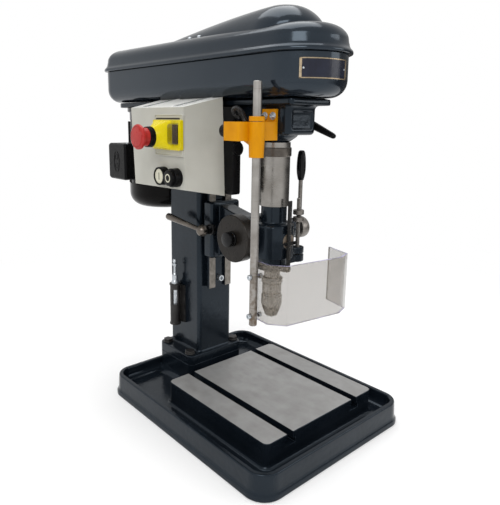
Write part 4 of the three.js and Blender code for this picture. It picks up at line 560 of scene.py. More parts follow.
def base_piece():
    plan = rounded(343, 422, 31)
    body = loft("base", plan, [(0, 3.8), (0.8, 4.6), (6, 4.6), (8.5, 3.2), (11, 1.9), (14, 1.2), (30, 0.5),
                               (37, 0), (38.6, -0.4), (39.6, -1.2), (40, -2.6)], 14)
    tray = [(17 + r, -9 - s) for r, s in arc(13, 8)] + [(37.2, -9), (39, -8), (41, -6.2)]
    cut(body, loft("tray", plan, tray, 14))
    table = rounded(261.4, 253.5, 10, 0, TABLE_Y)
    levels = [(16, 7)] + [(17 + r, s) for r, s in arc(7)] + [(57.5, 0), (TABLE_TOP, -0.8)]
    top = loft("table", table, levels, 8)
    levels = [(10, 15)] + [(17 + r, s) for r, s in arc(15, 8)] + [(57.6, 0), (58, -0.4)]
    seat = loft("seat", FLANGE, levels, 8)
    combine(seat, [loft("limit", plan, [(0, -3.5), (70, -3.5)], 14)], "INTERSECT")
    join(body, top, seat)
    under = rounded(233.4, 225.5, 8, 0, TABLE_Y)
    cuts = [loft("hollow", plan, [(-1, -14), (9, -14)], 8), loft("under", under, [(-1, 0), (30.3, 0)], 4)]
    for x in (-SLOT_X, SLOT_X):
        cuts.append(block("neck", x - 7, x + 7, -184, 87, 46.3, 60))
        cuts.append(block("head", x - 12, x + 12, -184, 87, 38.3, 47.3))
    cuts += [rod("hole", 5.3, 40, 60, 24, at=(x, y, 0)) for x, y in BOLTS]
    cut(body, *cuts)
    join(body, block("rib_a", -5, 5, -202, 202, 0, 16), block("rib_b", -162.5, 162.5, -5, 5, 0, 15))
    dress(body, "base_casting")
    paint_faces(body, table_steel, lambda c, n: c.z > TABLE_TOP - 0.1 and n.z > 0.9 and c.y < TABLE_BACK)
    edges(body, 0.7)


base_piece()

# Column with its flange and the slideway
SLIDE_Y = 91


def column_piece():
    plan = rounded(81, 96.6, 8, 0, COLUMN_Y)
    shaft = loft("column", plan, [(75, 5)] + [(76.3 + r, s) for r, s in arc(5)] + [(501.2, 0)], 10)
    foot = loft("foot", FLANGE, [(58.3, -0.6), (58.9, 0), (74, 0), (75.6, -0.8), (76.3, -2.4)], 8)
    points = [(-21, 107), (-21, 102.5), (-26.5, 97), (-26.5, SLIDE_Y)]
    points += [(-x, y) for x, y in reversed(points)]
    join(shaft, foot, prism("slide", points, 209, 478))
    cuts = [loft("core", plan, [(57, -7), (502, -7)], 8), block("groove", -12, 12, 90, 96, 208, 479),
            rod("screw", 3.3, -1, 21.3, 20, "Y", (0, SLIDE_Y, 226))]
    cuts += [rod("hole", 5.3, 57, 78, 24, at=(x, y, 0)) for x, y in BOLTS]
    cut(shaft, *cuts)
    dress(shaft, "column_casting")
    paint_faces(shaft, slide_steel, lambda c, n: abs(c.y - SLIDE_Y) < 0.1 and n.y < -0.9)
    edges(shaft, 0.9, 3)


column_piece()
for k, (x, y) in enumerate(BOLTS):
    rows = [(0, 76.6), (10, 76.6), (10, 78.1), (9.6, 78.4), (0, 78.4)]
    bolt = turned(f"bolt_head_{k + 1}", rows, 40, at=(x, y, 0))
    hexagon = turned("hex", [(0, 78.2), (9.8, 78.2), (9.8, 82.3), (8.9, 83), (0, 83)], 6, at=(x, y, 0))
    shank = rod("shank", 5, 42.7, 77, 24, at=(x, y, 0))
    form = merged(f"column_bolt_form_{k + 1}", bolt, hexagon, shank)
    dress(edges(form, 0.3), f"column_bolt_{k + 1}", dark_steel)

# Castings with soft fillets
for node, voxel, rounds in (("head_casting", 1.5, 7), ("head_arm", 1.3, 7), ("quill_collar", 0.9, 4)):
    form = softened(f"{node}_form", node, voxel, rounds)
    if node == "head_arm":
        cut(form, rod("rod_hole", 4.3, 290, 420, 32, at=ROD))
    dress(form, node)

dress(edges(copied("guard_bracket_form", "guard_bracket"), 1.1, 3, 24), "guard_bracket")

# Belt case and lid
NOSE_Y, TAIL_Y = -99.5, 351
CASE = [(0, NOSE_Y, 69), (45, TAIL_Y, 37), (-45, TAIL_Y, 37)]
HINGE = (0, 401.5, 619.5)
LID_RIM, LID_RISE, SHOULDER = 639, 24, 34
CROWN_FRONT, CROWN_BACK = -62, 240


def case_piece():
    wall = [(558 + r, -s) for r, s in arc(25, 10)] + [(600, 0), (618.4, 0), (619.2, -0.5), (619.5, -1.6)]
    shell = loft("case_shell", CASE, wall, 26)
    hollow = loft("case_hollow", CASE, [(562, -29), (570.3, -12.3), (587, -4), (621, -4)], 26)
    cut(shell, hollow, rod("spindle_hole", 17, 556, 563, 40, at=SPINDLE),
        rod("motor_hole", 20, 556, 563, 40, at=MOTOR))
    parts = []
    for x in (-25, 14.3):
        parts.append(rod("knuckle", 5.5, 0, 10.7, 24, "X", (x, *HINGE[1:])))
        parts.append(block("leaf_a", x, x + 10.7, 386, HINGE[1], 603, 614))
        parts.append(block("leaf_b", x, x + 10.7, 396, HINGE[1], 608.5, 619.5))
    parts.append(rod("pin", 2.5, -19.5, 19.5, 20, "X", HINGE))
    join(shell, *parts)
    dress(shell, "belt_case")
    edges(shell, 0.5)
    pins = [rod("pin", 1.9, 68.2, 69.5, 20, "-X", (0, y, 600), 0.3) for y in (88, 106)]
    detail(merged("case_pins", *pins), "belt_case", black)


def lid_height(x, y):
    """Height of the plain lid over a point, with its rolled shoulder."""
    ring = circle_outline(CASE, 0, 22)
    depth = 99.0
    for (ax, ay), (bx, by) in zip(ring, ring[1:] + ring[:1]):
        run = hypot(bx - ax, by - ay)
        if run > 1e-6:
            depth = min(depth, ((bx - ax) * (y - ay) - (by - ay) * (x - ax)) / run)
    across = min(max(SHOULDER - (depth - 1), 0), SHOULDER) / SHOULDER
    return LID_RIM + LID_RISE * sqrt(1 - across * across)


def crown_ring(share, sink=0.0, wall=0.0):
    """One ring of the tapered crown over the pulleys, from its foot (share 0) to its ridge (share 1)."""
    left = max(1 - share, 0.004)
    wide, narrow = (60 - wall) * left, (24 - wall) * left
    rise = sin(pi / 2 * min(1, share / 0.78)) ** 0.62
    ring = []
    for x, y in stations([(0, CROWN_FRONT, wide), (0, CROWN_BACK, narrow)], 0, 26, 40):
        along = min(max((y - CROWN_FRONT) / (CROWN_BACK - CROWN_FRONT), 0), 1)
        ring.append((x, y, lid_height(x, y) - sink + rise * (31.5 - 25 * along ** 1.5)))
    return ring


def lid_piece():
    outer = [(619.8, 5.2), (620.4, 6.0), (621.6, 6.5), (623.4, 6.4), (625, 5.6), (626.4, 4.3), (627.8, 2.9),
             (629.4, 1.7), (631.6, 0.8), (634.5, 0.1), (639, -1)]
    turns = [pi / 28 * k for k in range(1, 15)]
    outer += [(LID_RIM + LID_RISE * sin(a), -1 - SHOULDER * (1 - cos(a))) for a in turns]
    inner = [(619.8, -4), (LID_RIM, -5)]
    inner += [(LID_RIM + 20 * sin(a), -5 - 30 * (1 - cos(a))) for a in turns[1::2]]

    def rings(levels, steps):
        found = [[(x, y, z) for x, y in stations(CASE, grow)] for z, grow in levels]
        last = found[-1]
        for k in range(1, steps + 1):
            t = k / steps
            found.append([(x * (1 - t), y + (min(max(y, NOSE_Y), TAIL_Y) - y) * t, z) for x, y, z in last])
        return found

    shell = skin("lid_shell", rings(outer, 3)[::-1] + rings(inner, 3), cap=False)
    sharp(shell, 50)
    shares = [0, 0.004, 0.012, 0.025, 0.045, 0.07, 0.10, 0.14, 0.19, 0.25, 0.32, 0.40, 0.49, 0.59, 0.69, 0.78,
              0.86, 0.93, 1]
    cut(shell, prism("room", stations([(0, CROWN_FRONT, 56), (0, CROWN_BACK, 20)], 0), 650, 668))
    crown = [crown_ring(0, 3.5)] + [crown_ring(share) for share in shares]
    crown += [crown_ring(share, 3.5, 3) for share in [*shares[::-2], 0]] + [crown_ring(0, 3.5)]
    hump = sharp(skin("lid_crown", crown, cap=False), 60)
    lugs = rod("lid_knuckle", 5.5, -13.7, 13.7, 24, "X", HINGE)
    join(lugs, block("lid_leaf", -13.7, 13.7, 388, HINGE[1], 623, 625))
    cut(lugs, rod("lid_bore", 2.8, -15, 15, 20, "X", HINGE))
    dress(merged("lid", shell, hump, lugs), "belt_case_lid")
    head = [(0, 659), (3.6, 659), (3.6, 664.2), (2.6, 665.2), (0, 665.4)]
    screws = [turned("screw", head, 24, at=(-47, y, 0)) for y in (95, 122)]
    detail(merged("lid_screws", *screws), "belt_case_lid", zinc)


case_piece()
lid_piece()

# Plain plate with a raised border on the nose of the case
arcs = [radians(-141 + 68 * k / 24) for k in range(25)]


def nose_strip(name, r0, r1, z0, z1, low=0, high=24):
    rings = []
    for a in arcs[low:high + 1]:
        c, s = cos(a), sin(a)
        rings.append([(r * c, NOSE_Y + r * s, z) for r, z in ((r0, z0), (r1, z0), (r1, z1), (r0, z1))])
    return skin(name, rings)


strips = (("low", 582, 583.4), ("high", 608.6, 610), ("left", 582, 610, 0, 1), ("right", 582, 610, 23, 24))
border = merged("plate_border", *[nose_strip(name, 68.8, 69.9, *rest) for name, *rest in strips])
detail(nose_strip("name_plate", 68.8, 69.5, 582.5, 609.5), "belt_case", plate_blue)
detail(border, "belt_case", brass)
head = [(0, 68.5), (1.5, 68.5), (1.5, 69.9), (0.9, 70.3), (0, 70.4)]
pins = [moved(turned("pin", head, 20, "X"), shift(0, NOSE_Y, 596), Matrix.Rotation(a, 4, "Z"))
        for a in (arcs[1] + 0.035, arcs[23] - 0.035)]
detail(merged("plate_pins", *pins), "belt_case", zinc)

# Spindle line: bright sleeve, knurled nut, chuck and its sleeve
rows = [(22, 385.6), (24.4, 385.6), (24.4, 489.7), (22, 489.7), (22, 385.6)]
dress(edges(turned("bright_sleeve", rows, 96, at=SPINDLE), 0.4), "quill_sleeve", sleeve_steel)
rows = [(24.7, 466.9), (25.4, 466.9), (26.1, 467.9), (26.2, 468.6, 0.45), (26.2, 479.8, 0.45), (26.1, 480.5),
        (25.4, 481.5), (24.7, 481.5), (24.7, 466.9)]
nut = turned("knurled_nut", rows, 220, at=SPINDLE)
cut(nut, block("rib_room", -14, 14, SPINDLE_Y + 24.6, SPINDLE_Y + 28, 470, 490))
dress(sharp(nut, 40), "sleeve_nut", nut_steel)


def chuck_pieces():
    body = turned("chuck_form", [
        (0, 232.7), (6.4, 232.7), (6.4, 194.2), (8.2, 194.2), (12.6, 207.3), (12.6, 235), (15.6, 235),
        (16.3, 235.8), (16.4, 238, 0.25), (16.4, 249.6, 0.25), (16.3, 250.4), (15.4, 251), (15.4, 252),
        (17.4, 252.6), (18, 253.4), (18, 260.2), (17.2, 261.4), (15.2, 262), (13.7, 263.4), (13.7, 275),
        (6.8, 275), (5.9, 235.7), (0, 235.7)
    ], 80, at=SPINDLE)
    lean = radians(9)
    for k in (1, 2, 3):
        turn = radians(120 * (k - 1))
        way = Vector((sin(lean) * cos(turn), sin(lean) * sin(turn), cos(lean)))
        for travel in (0, 2.1, 4.2, 6.3):
            room = copied(f"jaw_room_{k}", f"chuck_jaw_{k}")
            grow = room.modifiers.new("grow", "DISPLACE")
            grow.strength, grow.mid_level = 0.3 * MM, 0
            cut(body, moved(baked(room), Matrix.Translation(way * travel * MM)))
    dress(sharp(body, 38), "chuck_body", chuck_steel)
    sleeve = turned("chuck_sleeve_form", [
        (12.9, 207), (8.8, 194.2), (8.8, 193), (10, 193), (10.6, 193.6), (12.6, 199, 0.9), (14.6, 204, 0.9),
        (15.9, 207.6, 0.5), (17.0, 211.2), (17.5, 213.4), (17.7, 214.4, 0.4), (17.7, 224.6, 0.4),
        (17.4, 225.4), (17.3, 226.2), (17.7, 226.9), (17.7, 229.4), (17.3, 230), (16.5, 230.6), (16.4, 233.4),
        (15.4, 234.4), (12.9, 234.4), (12.9, 207)
    ], 88, at=SPINDLE)
    dress(sharp(sleeve, 38), "chuck_sleeve", chuck_steel)
    rows = [(17.5, 226.6), (17.85, 226.8), (17.85, 229.2), (17.5, 229.4), (17.5, 226.6)]
    band = turned("chuck_band", rows, 88, at=SPINDLE)
    detail(sharp(band), "chuck_sleeve", sleeve_steel)


chuck_pieces()
for k in (1, 2, 3):
    dress(edges(copied(f"jaw_form_{k}", f"chuck_jaw_{k}"), 0.2), f"chuck_jaw_{k}")

# Depth rod with its thread, its nuts and the scale
thread = [(0, 291.3), (3.6, 291.3), (3.6, 306)]
for k in range(70):
    z = 306.4 + k * 1.25
    thread += [(3.6, z), (3.12, z + 0.55)]
thread += [(3.6, 394), (2.9, 395), (0, 395)]
dress(sharp(turned("threaded_rod", thread, 28, at=ROD), 60), "depth_rod", thread_steel)
for name, low in (("depth_nut_lower", 355.0), ("depth_nut_upper", 367.0)):
    rows = [(3.9, low), (8.6, low), (9.3, low + 0.7), (9.4, low + 1.2, 0.45), (9.4, low + 6.8, 0.45),
            (9.3, low + 7.3), (8.6, low + 8), (3.9, low + 8), (3.9, low)]
    form = turned(f"{name}_form", rows, 68, at=ROD)
    dress(sharp(form, 40), name, grey_steel)
bar = block("scale_bar", -5, 3.4, -87, -84.8, 277.6, 395)
tip = block("tip", -5, 3.4, -87, -84.8, 394.9, 397)
dress(edges(merged("scale_form", bar, tip), 0.35), "depth_scale", gun_steel)
marks = []
for k in range(44):
    z = 300 + k * 2
    reach = 4.2 if k % 5 == 0 else 2.4
    marks.append(block("mark", 3.2 - reach, 3.2, -87.06, -86.95, z - 0.14, z + 0.14))
detail(merged("scale_marks", *marks), "depth_scale", mark_grey)
guide = merged("scale_guide", block("clip", -13, 13, -88.9, -87.6, 323.5, 329.5),
               *[rod("post", 2.2, 83.6, 88, 20, "-Y", (x, 0, 326.5)) for x in (-10, 10)])
detail(edges(guide, 0.3), "head_arm", gun_steel)
head = [(0, 88.7), (2.9, 88.7), (2.9, 89.8), (2.2, 90.6), (0, 90.8)]
screws = [turned("screw", head, 24, "-Y", (x, 0, 326.5)) for x in (-10, 10)]
detail(sharp(merged("guide_screws", *screws)), "head_arm", black)
rows = [(0, 83.4), (12.3, 83.4), (12.3, 84.1), (11.9, 84.4), (0, 84.4)]
disc = turned("pointer_disc", rows, 56, "-Y", (0, 0, FEED_Z))
detail(sharp(disc), "head_arm", bronze)

# Feed: drum, shaft with its wheel, hub, lever and grip
rows = [(9, 0), (39, 0), (40, 1), (40, 20), (37, 20), (37, 6), (34, 3), (9, 3), (9, 0)]
dress(edges(turned("drum", rows, 96, "X", (-62.3, PINION_Y, FEED_Z)), 0.4), "spring_housing", drum_steel)
shaft = turned("shaft", [
    (0, -75.6), (10.8, -75.6), (12, -75.0), (12.5, -73.8), (12.5, -68.4), (11.8, -67.2), (10.6, -67.2),
    (10.6, -66.6), (12.4, -66.4), (13, -65.6), (13, -63.2), (12.6, -62.6), (8, -62.6), (8, 103.4), (0, 103.4)
], 64, "X", PINION)
wheel = []
for k in range(19):
    a = 2 * pi * k / 19 - pi / 2
    wheel += [(14.575, a - 0.1111), (18.025, a - 0.0391), (18.025, a + 0.0391), (14.575, a + 0.1111)]
sides = [[(x, PINION_Y + r * sin(a), FEED_Z - r * cos(a)) for r, a in wheel] for x in (-7.5, 7.5)]
teeth = skin("teeth", sides)
dress(sharp(merged("feed_shaft", shaft, teeth)), "pinion_shaft", gloss_black)
rows = [(8.3, 93.4), (17.5, 93.4), (18.9, 94.1), (19.5, 95.6), (19.5, 109.4), (18.9, 111.6), (17, 113.1),
        (8, 113.4), (0, 113.4), (0, 103.7), (8.3, 103.7), (8.3, 93.4)]
dress(sharp(turned("hub", rows, 64, "X", PINION)), "lever_hub", grey_steel)
dress(sharp(rod("lever_rod", 3.8, 341, 445, 32, at=LEVER)), "feed_lever", grey_steel)
grip = [(4.1, 418), (4.9, 418), (5.4, 419), (6.6, 424), (7.7, 430), (8.3, 437), (8.4, 443), (8.2, 450),
        (7.8, 457), (7.1, 463), (6.2, 468), (4.9, 470.8), (3.0, 471.8), (0, 472)]
grip += [(0, 445.3), (4.1, 445.3), (4.1, 418)]
dress(sharp(turned("grip", grip, 48, at=LEVER), 60), "feed_grip", gloss_black)

# Levers on the left of the arm and on the right of the head
CLAMP_Y, BALL_X = 70, -59.94


def clamp_piece():
    rows = [(0, 0), (8.6, 0), (8.6, 3), (10.5, 3.4), (10.5, 8), (8.8, 9), (8.8, 16), (0, 18)]
    hub = turned("hub", rows, 48, "-X", (-34.3, CLAMP_Y, FEED_Z))
    turns = [pi * k / 20 for k in range(21)]
    rows = [(10.8 * sin(a), -10.8 * cos(a)) for a in turns]
    ball = turned("ball", rows, 48, at=(BALL_X, CLAMP_Y, FEED_Z))
    rows = [(0, 4), (4, 4), (4.4, 30), (5.3, 60), (6.2, 85), (6.6, 95.9), (5.9, 99), (4, 101.4), (1.4, 102.5),
            (0, 102.5)]
    handle = moved(turned("handle", rows, 40), shift(BALL_X, CLAMP_Y, FEED_Z), spin(4, "Z"),
                   spin(7.6 - 90, "X"))
    form = dress(sharp(merged("clamp_form", hub, ball, handle), 50), "clamp_lever", lever_steel)
    paint_faces(form, gloss_black, lambda c, n: c.x > -52.6 and hypot(c.y - CLAMP_Y, c.z - FEED_Z) < 11)


def tension_piece():
    rows = [(0, -17.7), (5, -17.7), (5, 0), (12.2, 0), (12.5, 0.6), (12.5, 15.6), (11.4, 17.4), (0, 18)]
    hub = turned("hub", rows, 48, "X", (35.3, -70, 524))
    rows = [(0, 0), (7.2, 0), (6.5, 20), (5.6, 40), (4.6, 60), (4.2, 64.8), (3.2, 67.4), (1, 69), (0, 69)]
    handle = moved(turned("handle", rows, 40), shift(44.6, -70, 524), spin(90 + 21, "X"))
    dress(sharp(merged("tension_form", hub, handle), 50), "tension_lever", black)


clamp_piece()
tension_piece()

# Control box with its frame, buttons, flap and mushroom; heights are taken from the column's side
SIDE, FACE = -40.8, 91.2
PANEL = (79.5, 66.5, 3.5, 38.2, 498.7)
START_U, STOP_U, BUTTON_Z = 21, 57.5, 431.5
STOP_AT = (21.5, 496, 0)


def seen_left(obj, x=SIDE, y=BOX_Y):
    """From a form drawn along +Z, with +X to the front and +Y up, to one that points to the left."""
    return moved(obj, Matrix(((0, 0, -1, x * MM), (-1, 0, 0, y * MM), (0, 1, 0, 0), (0, 0, 0, 1))))


def outline(width, height, corner, x, y, grow=0, steps=6):
    return circle_outline(rounded(width, height, corner, x, y), grow, steps)


def control_box_piece():
    """Moulded box with a drafted face, a raised panel, pockets for the buttons and ribs on its top."""
    back = [(-58.2, 17.5, 560.2), (-58.2, 10.5, 399), (-58.2, 196, 402), (-58.2, 196, 560.5)]
    face = [(-132, 25, 543), (-130.5, 21.5, 412.5), (-130.5, 177, 409.5), (-132, 183.5, 543.5)]
    body = skin("control_box_form", [back, face])
    join(body, seen_left(prism("panel", outline(*PANEL), FACE - 2, FACE + 1.8)))
    for x in (START_U, STOP_U):
        cut(body, seen_left(rod("pocket", 12.9, FACE - 9, FACE + 3, 40, at=(x, BUTTON_Z, 0))))
    form = dress(edges(body, 1.3, 3, 28), "control_box")
    # The upward faces get the lighter grey: painted light from above
    paint_faces(form, box_light, lambda c, n: n.z > 0.8)
    line = hoop("box_frames", outline(*PANEL, 0, 8), outline(*PANEL, -1.5, 8), FACE + 1.6, FACE + 2.7)
    ribs = []
    for y in (41, 133):
        low = [(-60, y, 559.0), (-60, y + 16, 559.0), (-130, y + 16, 542.8), (-130, y, 542.8)]
        high = [(x, b, z + 2.2) for x, b, z in low]
        ribs.append(skin("rib", [low, high]))
    detail(edges(seen_left(line), 0.3), "control_box", grey_box, "box_plastic")
    # The ribs' lighter grey is a painted highlight
    detail(edges(merged("box_ribs", *ribs), 0.5), "control_box", box_gloss, "box_plastic")


control_box_piece()
# A thin dark strip above the flap stands for the hinge gap: painted shadow
detail(seen_left(block("hinge_slot", 2, 70, 524, 526.4, FACE + 1.7, FACE + 2)), "control_box", dark_brown)
for x, name, face in ((START_U, "start_button", FACE + 10.5), (STOP_U, "stop_button", FACE + 18)):
    ring = turned("ring", [
        (12.95, FACE - 6), (15.4, FACE - 6), (15.4, FACE + 3), (14.9, FACE + 3.4), (14.9, FACE + 4.2),
        (15.2, FACE + 4.6), (15.2, FACE + 11), (14.6, FACE + 11.7), (12.95, FACE + 11.7), (12.95, FACE - 6)
    ], 56, at=(x, BUTTON_Z, 0))
    detail(sharp(seen_left(ring)), "control_box", black)
    rows = [(0, 87.2), (12.6, 87.2), (12.6, face - 1), (12.1, face - 0.3), (11.2, face), (0, face)]
    cap = turned("cap", rows, 56, at=(x, BUTTON_Z, 0))
    dress(sharp(seen_left(cap)), name)
mark = block("mark", START_U - 0.9, START_U + 0.9, BUTTON_Z - 5.9, BUTTON_Z + 5.9, FACE + 10.4, FACE + 10.62)
detail(seen_left(mark), "start_button", black)
low, high = FACE + 17.9, FACE + 18.12
mark = turned("mark", [(5, low), (6.9, low), (6.9, high), (5, high), (5, low)], 48, at=(STOP_U, BUTTON_Z, 0))
detail(seen_left(mark), "stop_button", white)


def flap_pieces():
    """Yellow flap with its moulded tower, and the smoked lens beside it."""
    plate = prism("flap_form", outline(78.5, 47.5, 3, 40.6, 499.5), 93.5, 99.5)
    low, high = outline(57, 46, 6, 30.5, 499.5, 0, 11), outline(32.42, 32.42, 16.2, *STOP_AT[:2], 0, 11)
    rings = []
    for k in range(11):
        t = k / 10
        ease = t * 0.55 + 0.45 * sin(t * pi / 2)
        rings.append([(ax + (bx - ax) * ease, ay + (by - ay) * ease, 99 + 17.6 * t)
                      for (ax, ay), (bx, by) in zip(low, high)])
    join(plate, skin("tower", rings))
    cut(plate, rod("neck_room", 15.1, 103, 120, 48, at=STOP_AT),
        rod("stem_room", 13.7, 90, 110, 40, at=STOP_AT))
    dress(edges(seen_left(plate), 0.7, 3, 30), "stop_flap")
    detail(seen_left(prism("inlay", outline(16, 30, 2, 66, 501), 99.4, 99.7)), "stop_flap", dark_brown)
    rings, shares = [], [-1 + 2 * k / 24 for k in range(25)]
    for u in shares:
        x, ring = 62.2 + 12.3 * u, []
        for v in shares:
            rise = sqrt(max(1 - abs(u) ** 3.2, 0)) * sqrt(max(1 - v ** 8, 0))
            ring.append((x, 501 + 17 * v, 99.6 + 6.4 * rise * (1 - 0.3 * u)))
        rings.append([(x, 484, 98.5), *ring, (x, 518, 98.5)])
    dress(sharp(seen_left(skin("lens", rings)), 50), "flap_window")
    slats = [block("slat", x, x + 0.7, 486, 516, 99.7, 101.2) for x in (60.5, 64, 67.5, 71)]
    detail(merged("window_slats", *[seen_left(slat) for slat in slats]), "stop_flap", bronze)


flap_pieces()
rows = [
    (15.1, 115.6), (16.2, 115.6), (16.7, 116.6), (16.7, 118.6), (15.8, 119.2), (15.8, 120.0), (16.6, 120.6),
    (16.6, 122.6), (15.8, 123.2), (15.8, 123.8), (16.3, 124.4), (16.3, 125.2), (15.7, 125.8), (15.1, 125.8),
    (15.1, 115.6)
]
detail(sharp(seen_left(turned("ribbed_ring", rows, 56, at=STOP_AT))), "stop_flap", black)
cap = [
    (0, 110), (14.2, 110), (14.8, 110.8), (14.8, 136.2), (15.6, 136.9), (18.8, 137.2), (19.8, 137.9),
    (20, 138.8), (20, 140.6), (19.6, 141.8), (18.6, 142.7), (16.9, 143.3), (16.5, 143.1), (16.1, 142.5),
    (15.7, 142.5), (15.3, 143.2), (14.8, 143.6), (10, 144), (0, 144)
]
dress(sharp(seen_left(turned("mushroom", cap, 72, at=STOP_AT)), 24), "stop_mushroom")

# Black mount with a round cap, and the connector box on the motor
dress(edges(copied("mount_form", "switch_mount"), 1.6, 3), "switch_mount")
CAP_X, CAP_Z = -49.4, 478
rows = [(0, 9), (10.8, 9), (11.6, 9.8), (11.6, 12), (10.6, 13), (8.6, 13), (8, 12.4), (0, 12.4)]
cap = turned("mount_cap", rows, 48, "-Y", (CAP_X, 0, CAP_Z))
studs = [rod("stud", 0.8, 12.6, 13.5, 10, "-Y", (CAP_X + 9.6 * cos(a), 0, CAP_Z + 9.6 * sin(a)))
         for a in [2 * pi * k / 10 for k in range(10)]]
detail(sharp(merged("mount_cap_form", cap, *studs)), "switch_mount", black)


def oval(width, height, z):
    turns = [2 * pi * k / 40 for k in range(40)]
    return [(width * cos(a), z + height * sin(a)) for a in turns]


dress(edges(copied("connector_form", "terminal_box"), 2.2, 4), "terminal_box")
lines = []
ovals = ((10.5, 21, 1.3, 442, 113.7), (5.5, 6, 1.2, 451, 113.6), (5.5, 6, 1.2, 434, 113.6))
for w, h, line, z, high in ovals:
    lines.append(seen_left(hoop("oval", oval(w, h, z), oval(w - line, h - line, z), 112.8, high), 0, MOTOR_Y))
detail(edges(merged("connector_relief", *lines), 0.3), "terminal_box", black)
rows = [(0, 476.8), (3.2, 476.8), (3.2, 479), (2.4, 479.6), (0, 479.8)]
screw = turned("screw", rows, 24, at=(-101, 254, 0))
detail(sharp(screw), "terminal_box", zinc)


# Motor and fan cowl with finer rounds
def motor_piece():
    points = []
    rib = ((-0.5, 70.5), (-0.35, 70.5), (-0.2, 70.5), (-0.12, 74), (0, 74), (0.12, 74), (0.2, 70.5),
           (0.35, 70.5))
    for k in range(12):
        for share, r in rib:
            a = 2 * pi * (k + share) / 12
            points.append((r * cos(a), MOTOR_Y + r * sin(a)))
    body = prism("body", points, 395, 520)
    cap = turned("cap", [(0, 519), (67, 519), (68.6, 520.4), (70, 523), (70, 537), (71, 538.4), (73.4, 538.7),
                         (74, 539.4), (74, 546.7), (0, 546.7)], 96, at=MOTOR)
    join(body, cap)
    cut(body, rod("bore", 7.3, 497.7, 548, 32, at=MOTOR))
    dress(edges(body, 0.9), "motor_frame", motor_black)
    outer = [(73 - s, 347 + r) for r, s in arc(28, 10)]
    inner = [(70.5 - s, 349.5 + r) for r, s in arc(25.5, 8)][::-1]
    rows = [(0, 347)] + outer + [(73, 394.7), (70.5, 394.7)] + inner + [(0, 349.5)]
    shell = turned("shell", rows, 96, at=MOTOR)
    vents = []
    for k in range(6):
        a, half = pi * k / 3, pi * 0.55 / 6
        turns = [a - half + half * j / 3 for j in range(7)]
        spots = [(16, t) for t in turns] + [(40, t) for t in turns[::-1]]
        corners = [(r * cos(t), MOTOR_Y + r * sin(t)) for r, t in spots]
        vents.append(prism("vent", corners, 346, 351))
    cut(shell, *vents)
    dress(sharp(shell, 30), "fan_cowl", motor_black)


motor_piece()

# Pulleys with rounder steps
STEPS_Z = 573
for name, y, bore, low, radii in (("spindle_pulley", SPINDLE_Y, 8.8, 497, (55, 46, 37, 28)),
                                  ("motor_pulley", MOTOR_Y, 7.3, STEPS_Z, (28, 37, 46, 55))):
    rows = [(bore, low)] + ([(13, low), (13, STEPS_Z)] if low < STEPS_Z else [])
    for k, r in enumerate(radii):
        z = STEPS_Z + 16 * k
        rows += [(r, z), (r, z + 1.2), (r - 6.2, z + 5), (r - 6.2, z + 11), (r, z + 14.8), (r, z + 16)]
    dress(sharp(turned(f"{name}_form", rows + [(bore, 637), (bore, low)], 80, at=(0, y, 0)), 30), name)

# Guard: rod, shield with a painted highlight on its cut edges and painted shade on its folds, bolts, collar
# and screws
COLLAR_Z, AT_REST, SCREW_TURN = middle("guard_collar")[2], -8, 35


def guard_turn(obj, turn=0):
    """From a form drawn round the guard's rod to its place at rest."""
    return moved(obj, shift(GUARD_X, GUARD_Y, 0), spin(AT_REST, "Z"), spin(turn, "Z"))


rows = [(0, 209.5), (5.7, 209.5), (6.3, 210.1), (6.3, 578.2), (5.5, 579), (0, 579)]
long_rod = turned("rod_of_guard", rows, 48)
cuts = [rod("hole", 2.7, -7.3, 7.3, 20, "X", (0, 0, z)) for z in (225, 288)]
dress(sharp(guard_turn(cut(long_rod, *cuts))), "guard_rod", rod_steel)
sheet = copied("shield_form", "guard_shield")
bend = sheet.modifiers.new("bend", "BEVEL")
bend.width, bend.segments, bend.limit_method, bend.angle_limit = MM, 2, "ANGLE", radians(22)
dress(sharp(baked(sheet), 30), "guard_shield")
panes = [radians(turn + AT_REST) for turn in (0, 180, -135, 45, -90, 90, -62.4, 117.6, -8.3, 171.7)]
# Bright colour on the cut edges is a painted highlight; dark colour on the fold faces is painted shade
paint_faces(sheet, cut_edge, lambda c, n: abs(n.z) > 0.5)
paint_faces(sheet, fold_edge, lambda c, n: abs(n.z) <= 0.5 and all(n.x * cos(a) + n.y * sin(a) < 0.999
                                                                  for a in panes))
for z, name in ((225, "guard_bolt_lower"), (288, "guard_bolt_upper")):
    head = turned("head", [(0, -9.2), (1.9, -9.2), (1.9, -10.6), (3.4, -10.6), (4.2, -9.8), (4.2, -6.6),
                           (2.4, -6.6), (2.4, 10.2), (0, 10.2)], 36, "X", (0, 0, z))
    nut = turned("nut", [(2.3, 10.2), (4.5, 10.2), (4.5, 13.6), (4, 14.6), (0, 14.6), (0, 12), (2.3, 12),
                         (2.3, 10.2)], 6, "X", (0, 0, z))
    dress(sharp(guard_turn(merged(f"{name}_form", head, nut))), name)
collar = turned("collar", [(6.6, 522.2), (11.2, 522.2), (11.6, 522.6), (11.6, 528.6), (10.9, 529.3),
                           (6.6, 529.3), (6.6, 522.2)], 56)
cut(collar, moved(rod("hole", 2.7, 0, 15, 16, "X", (0, 0, COLLAR_Z)), spin(SCREW_TURN, "Z")))
dress(sharp(guard_turn(collar)), "guard_collar")
rows = [(0, 6.6), (2.4, 6.6), (2.4, 13.8), (3.3, 13.8), (3.3, 20), (4.6, 20.4), (4.6, 24.4), (4, 25.3),
        (0, 25.5)]
screw = turned("screw", rows, 28, "X", (0, 0, COLLAR_Z))
dress(sharp(guard_turn(screw, SCREW_TURN)), "guard_thumb_screw", gun_steel)
washer = [(0, 39.7), (6, 39.7), (6, 40.9), (5.6, 41.2), (0, 41.2)]
hexagon = [(0, 41), (4.2, 41), (4.2, 43.8), (3.6, 44.4), (2.2, 44.4), (2.2, 43), (0, 43)]
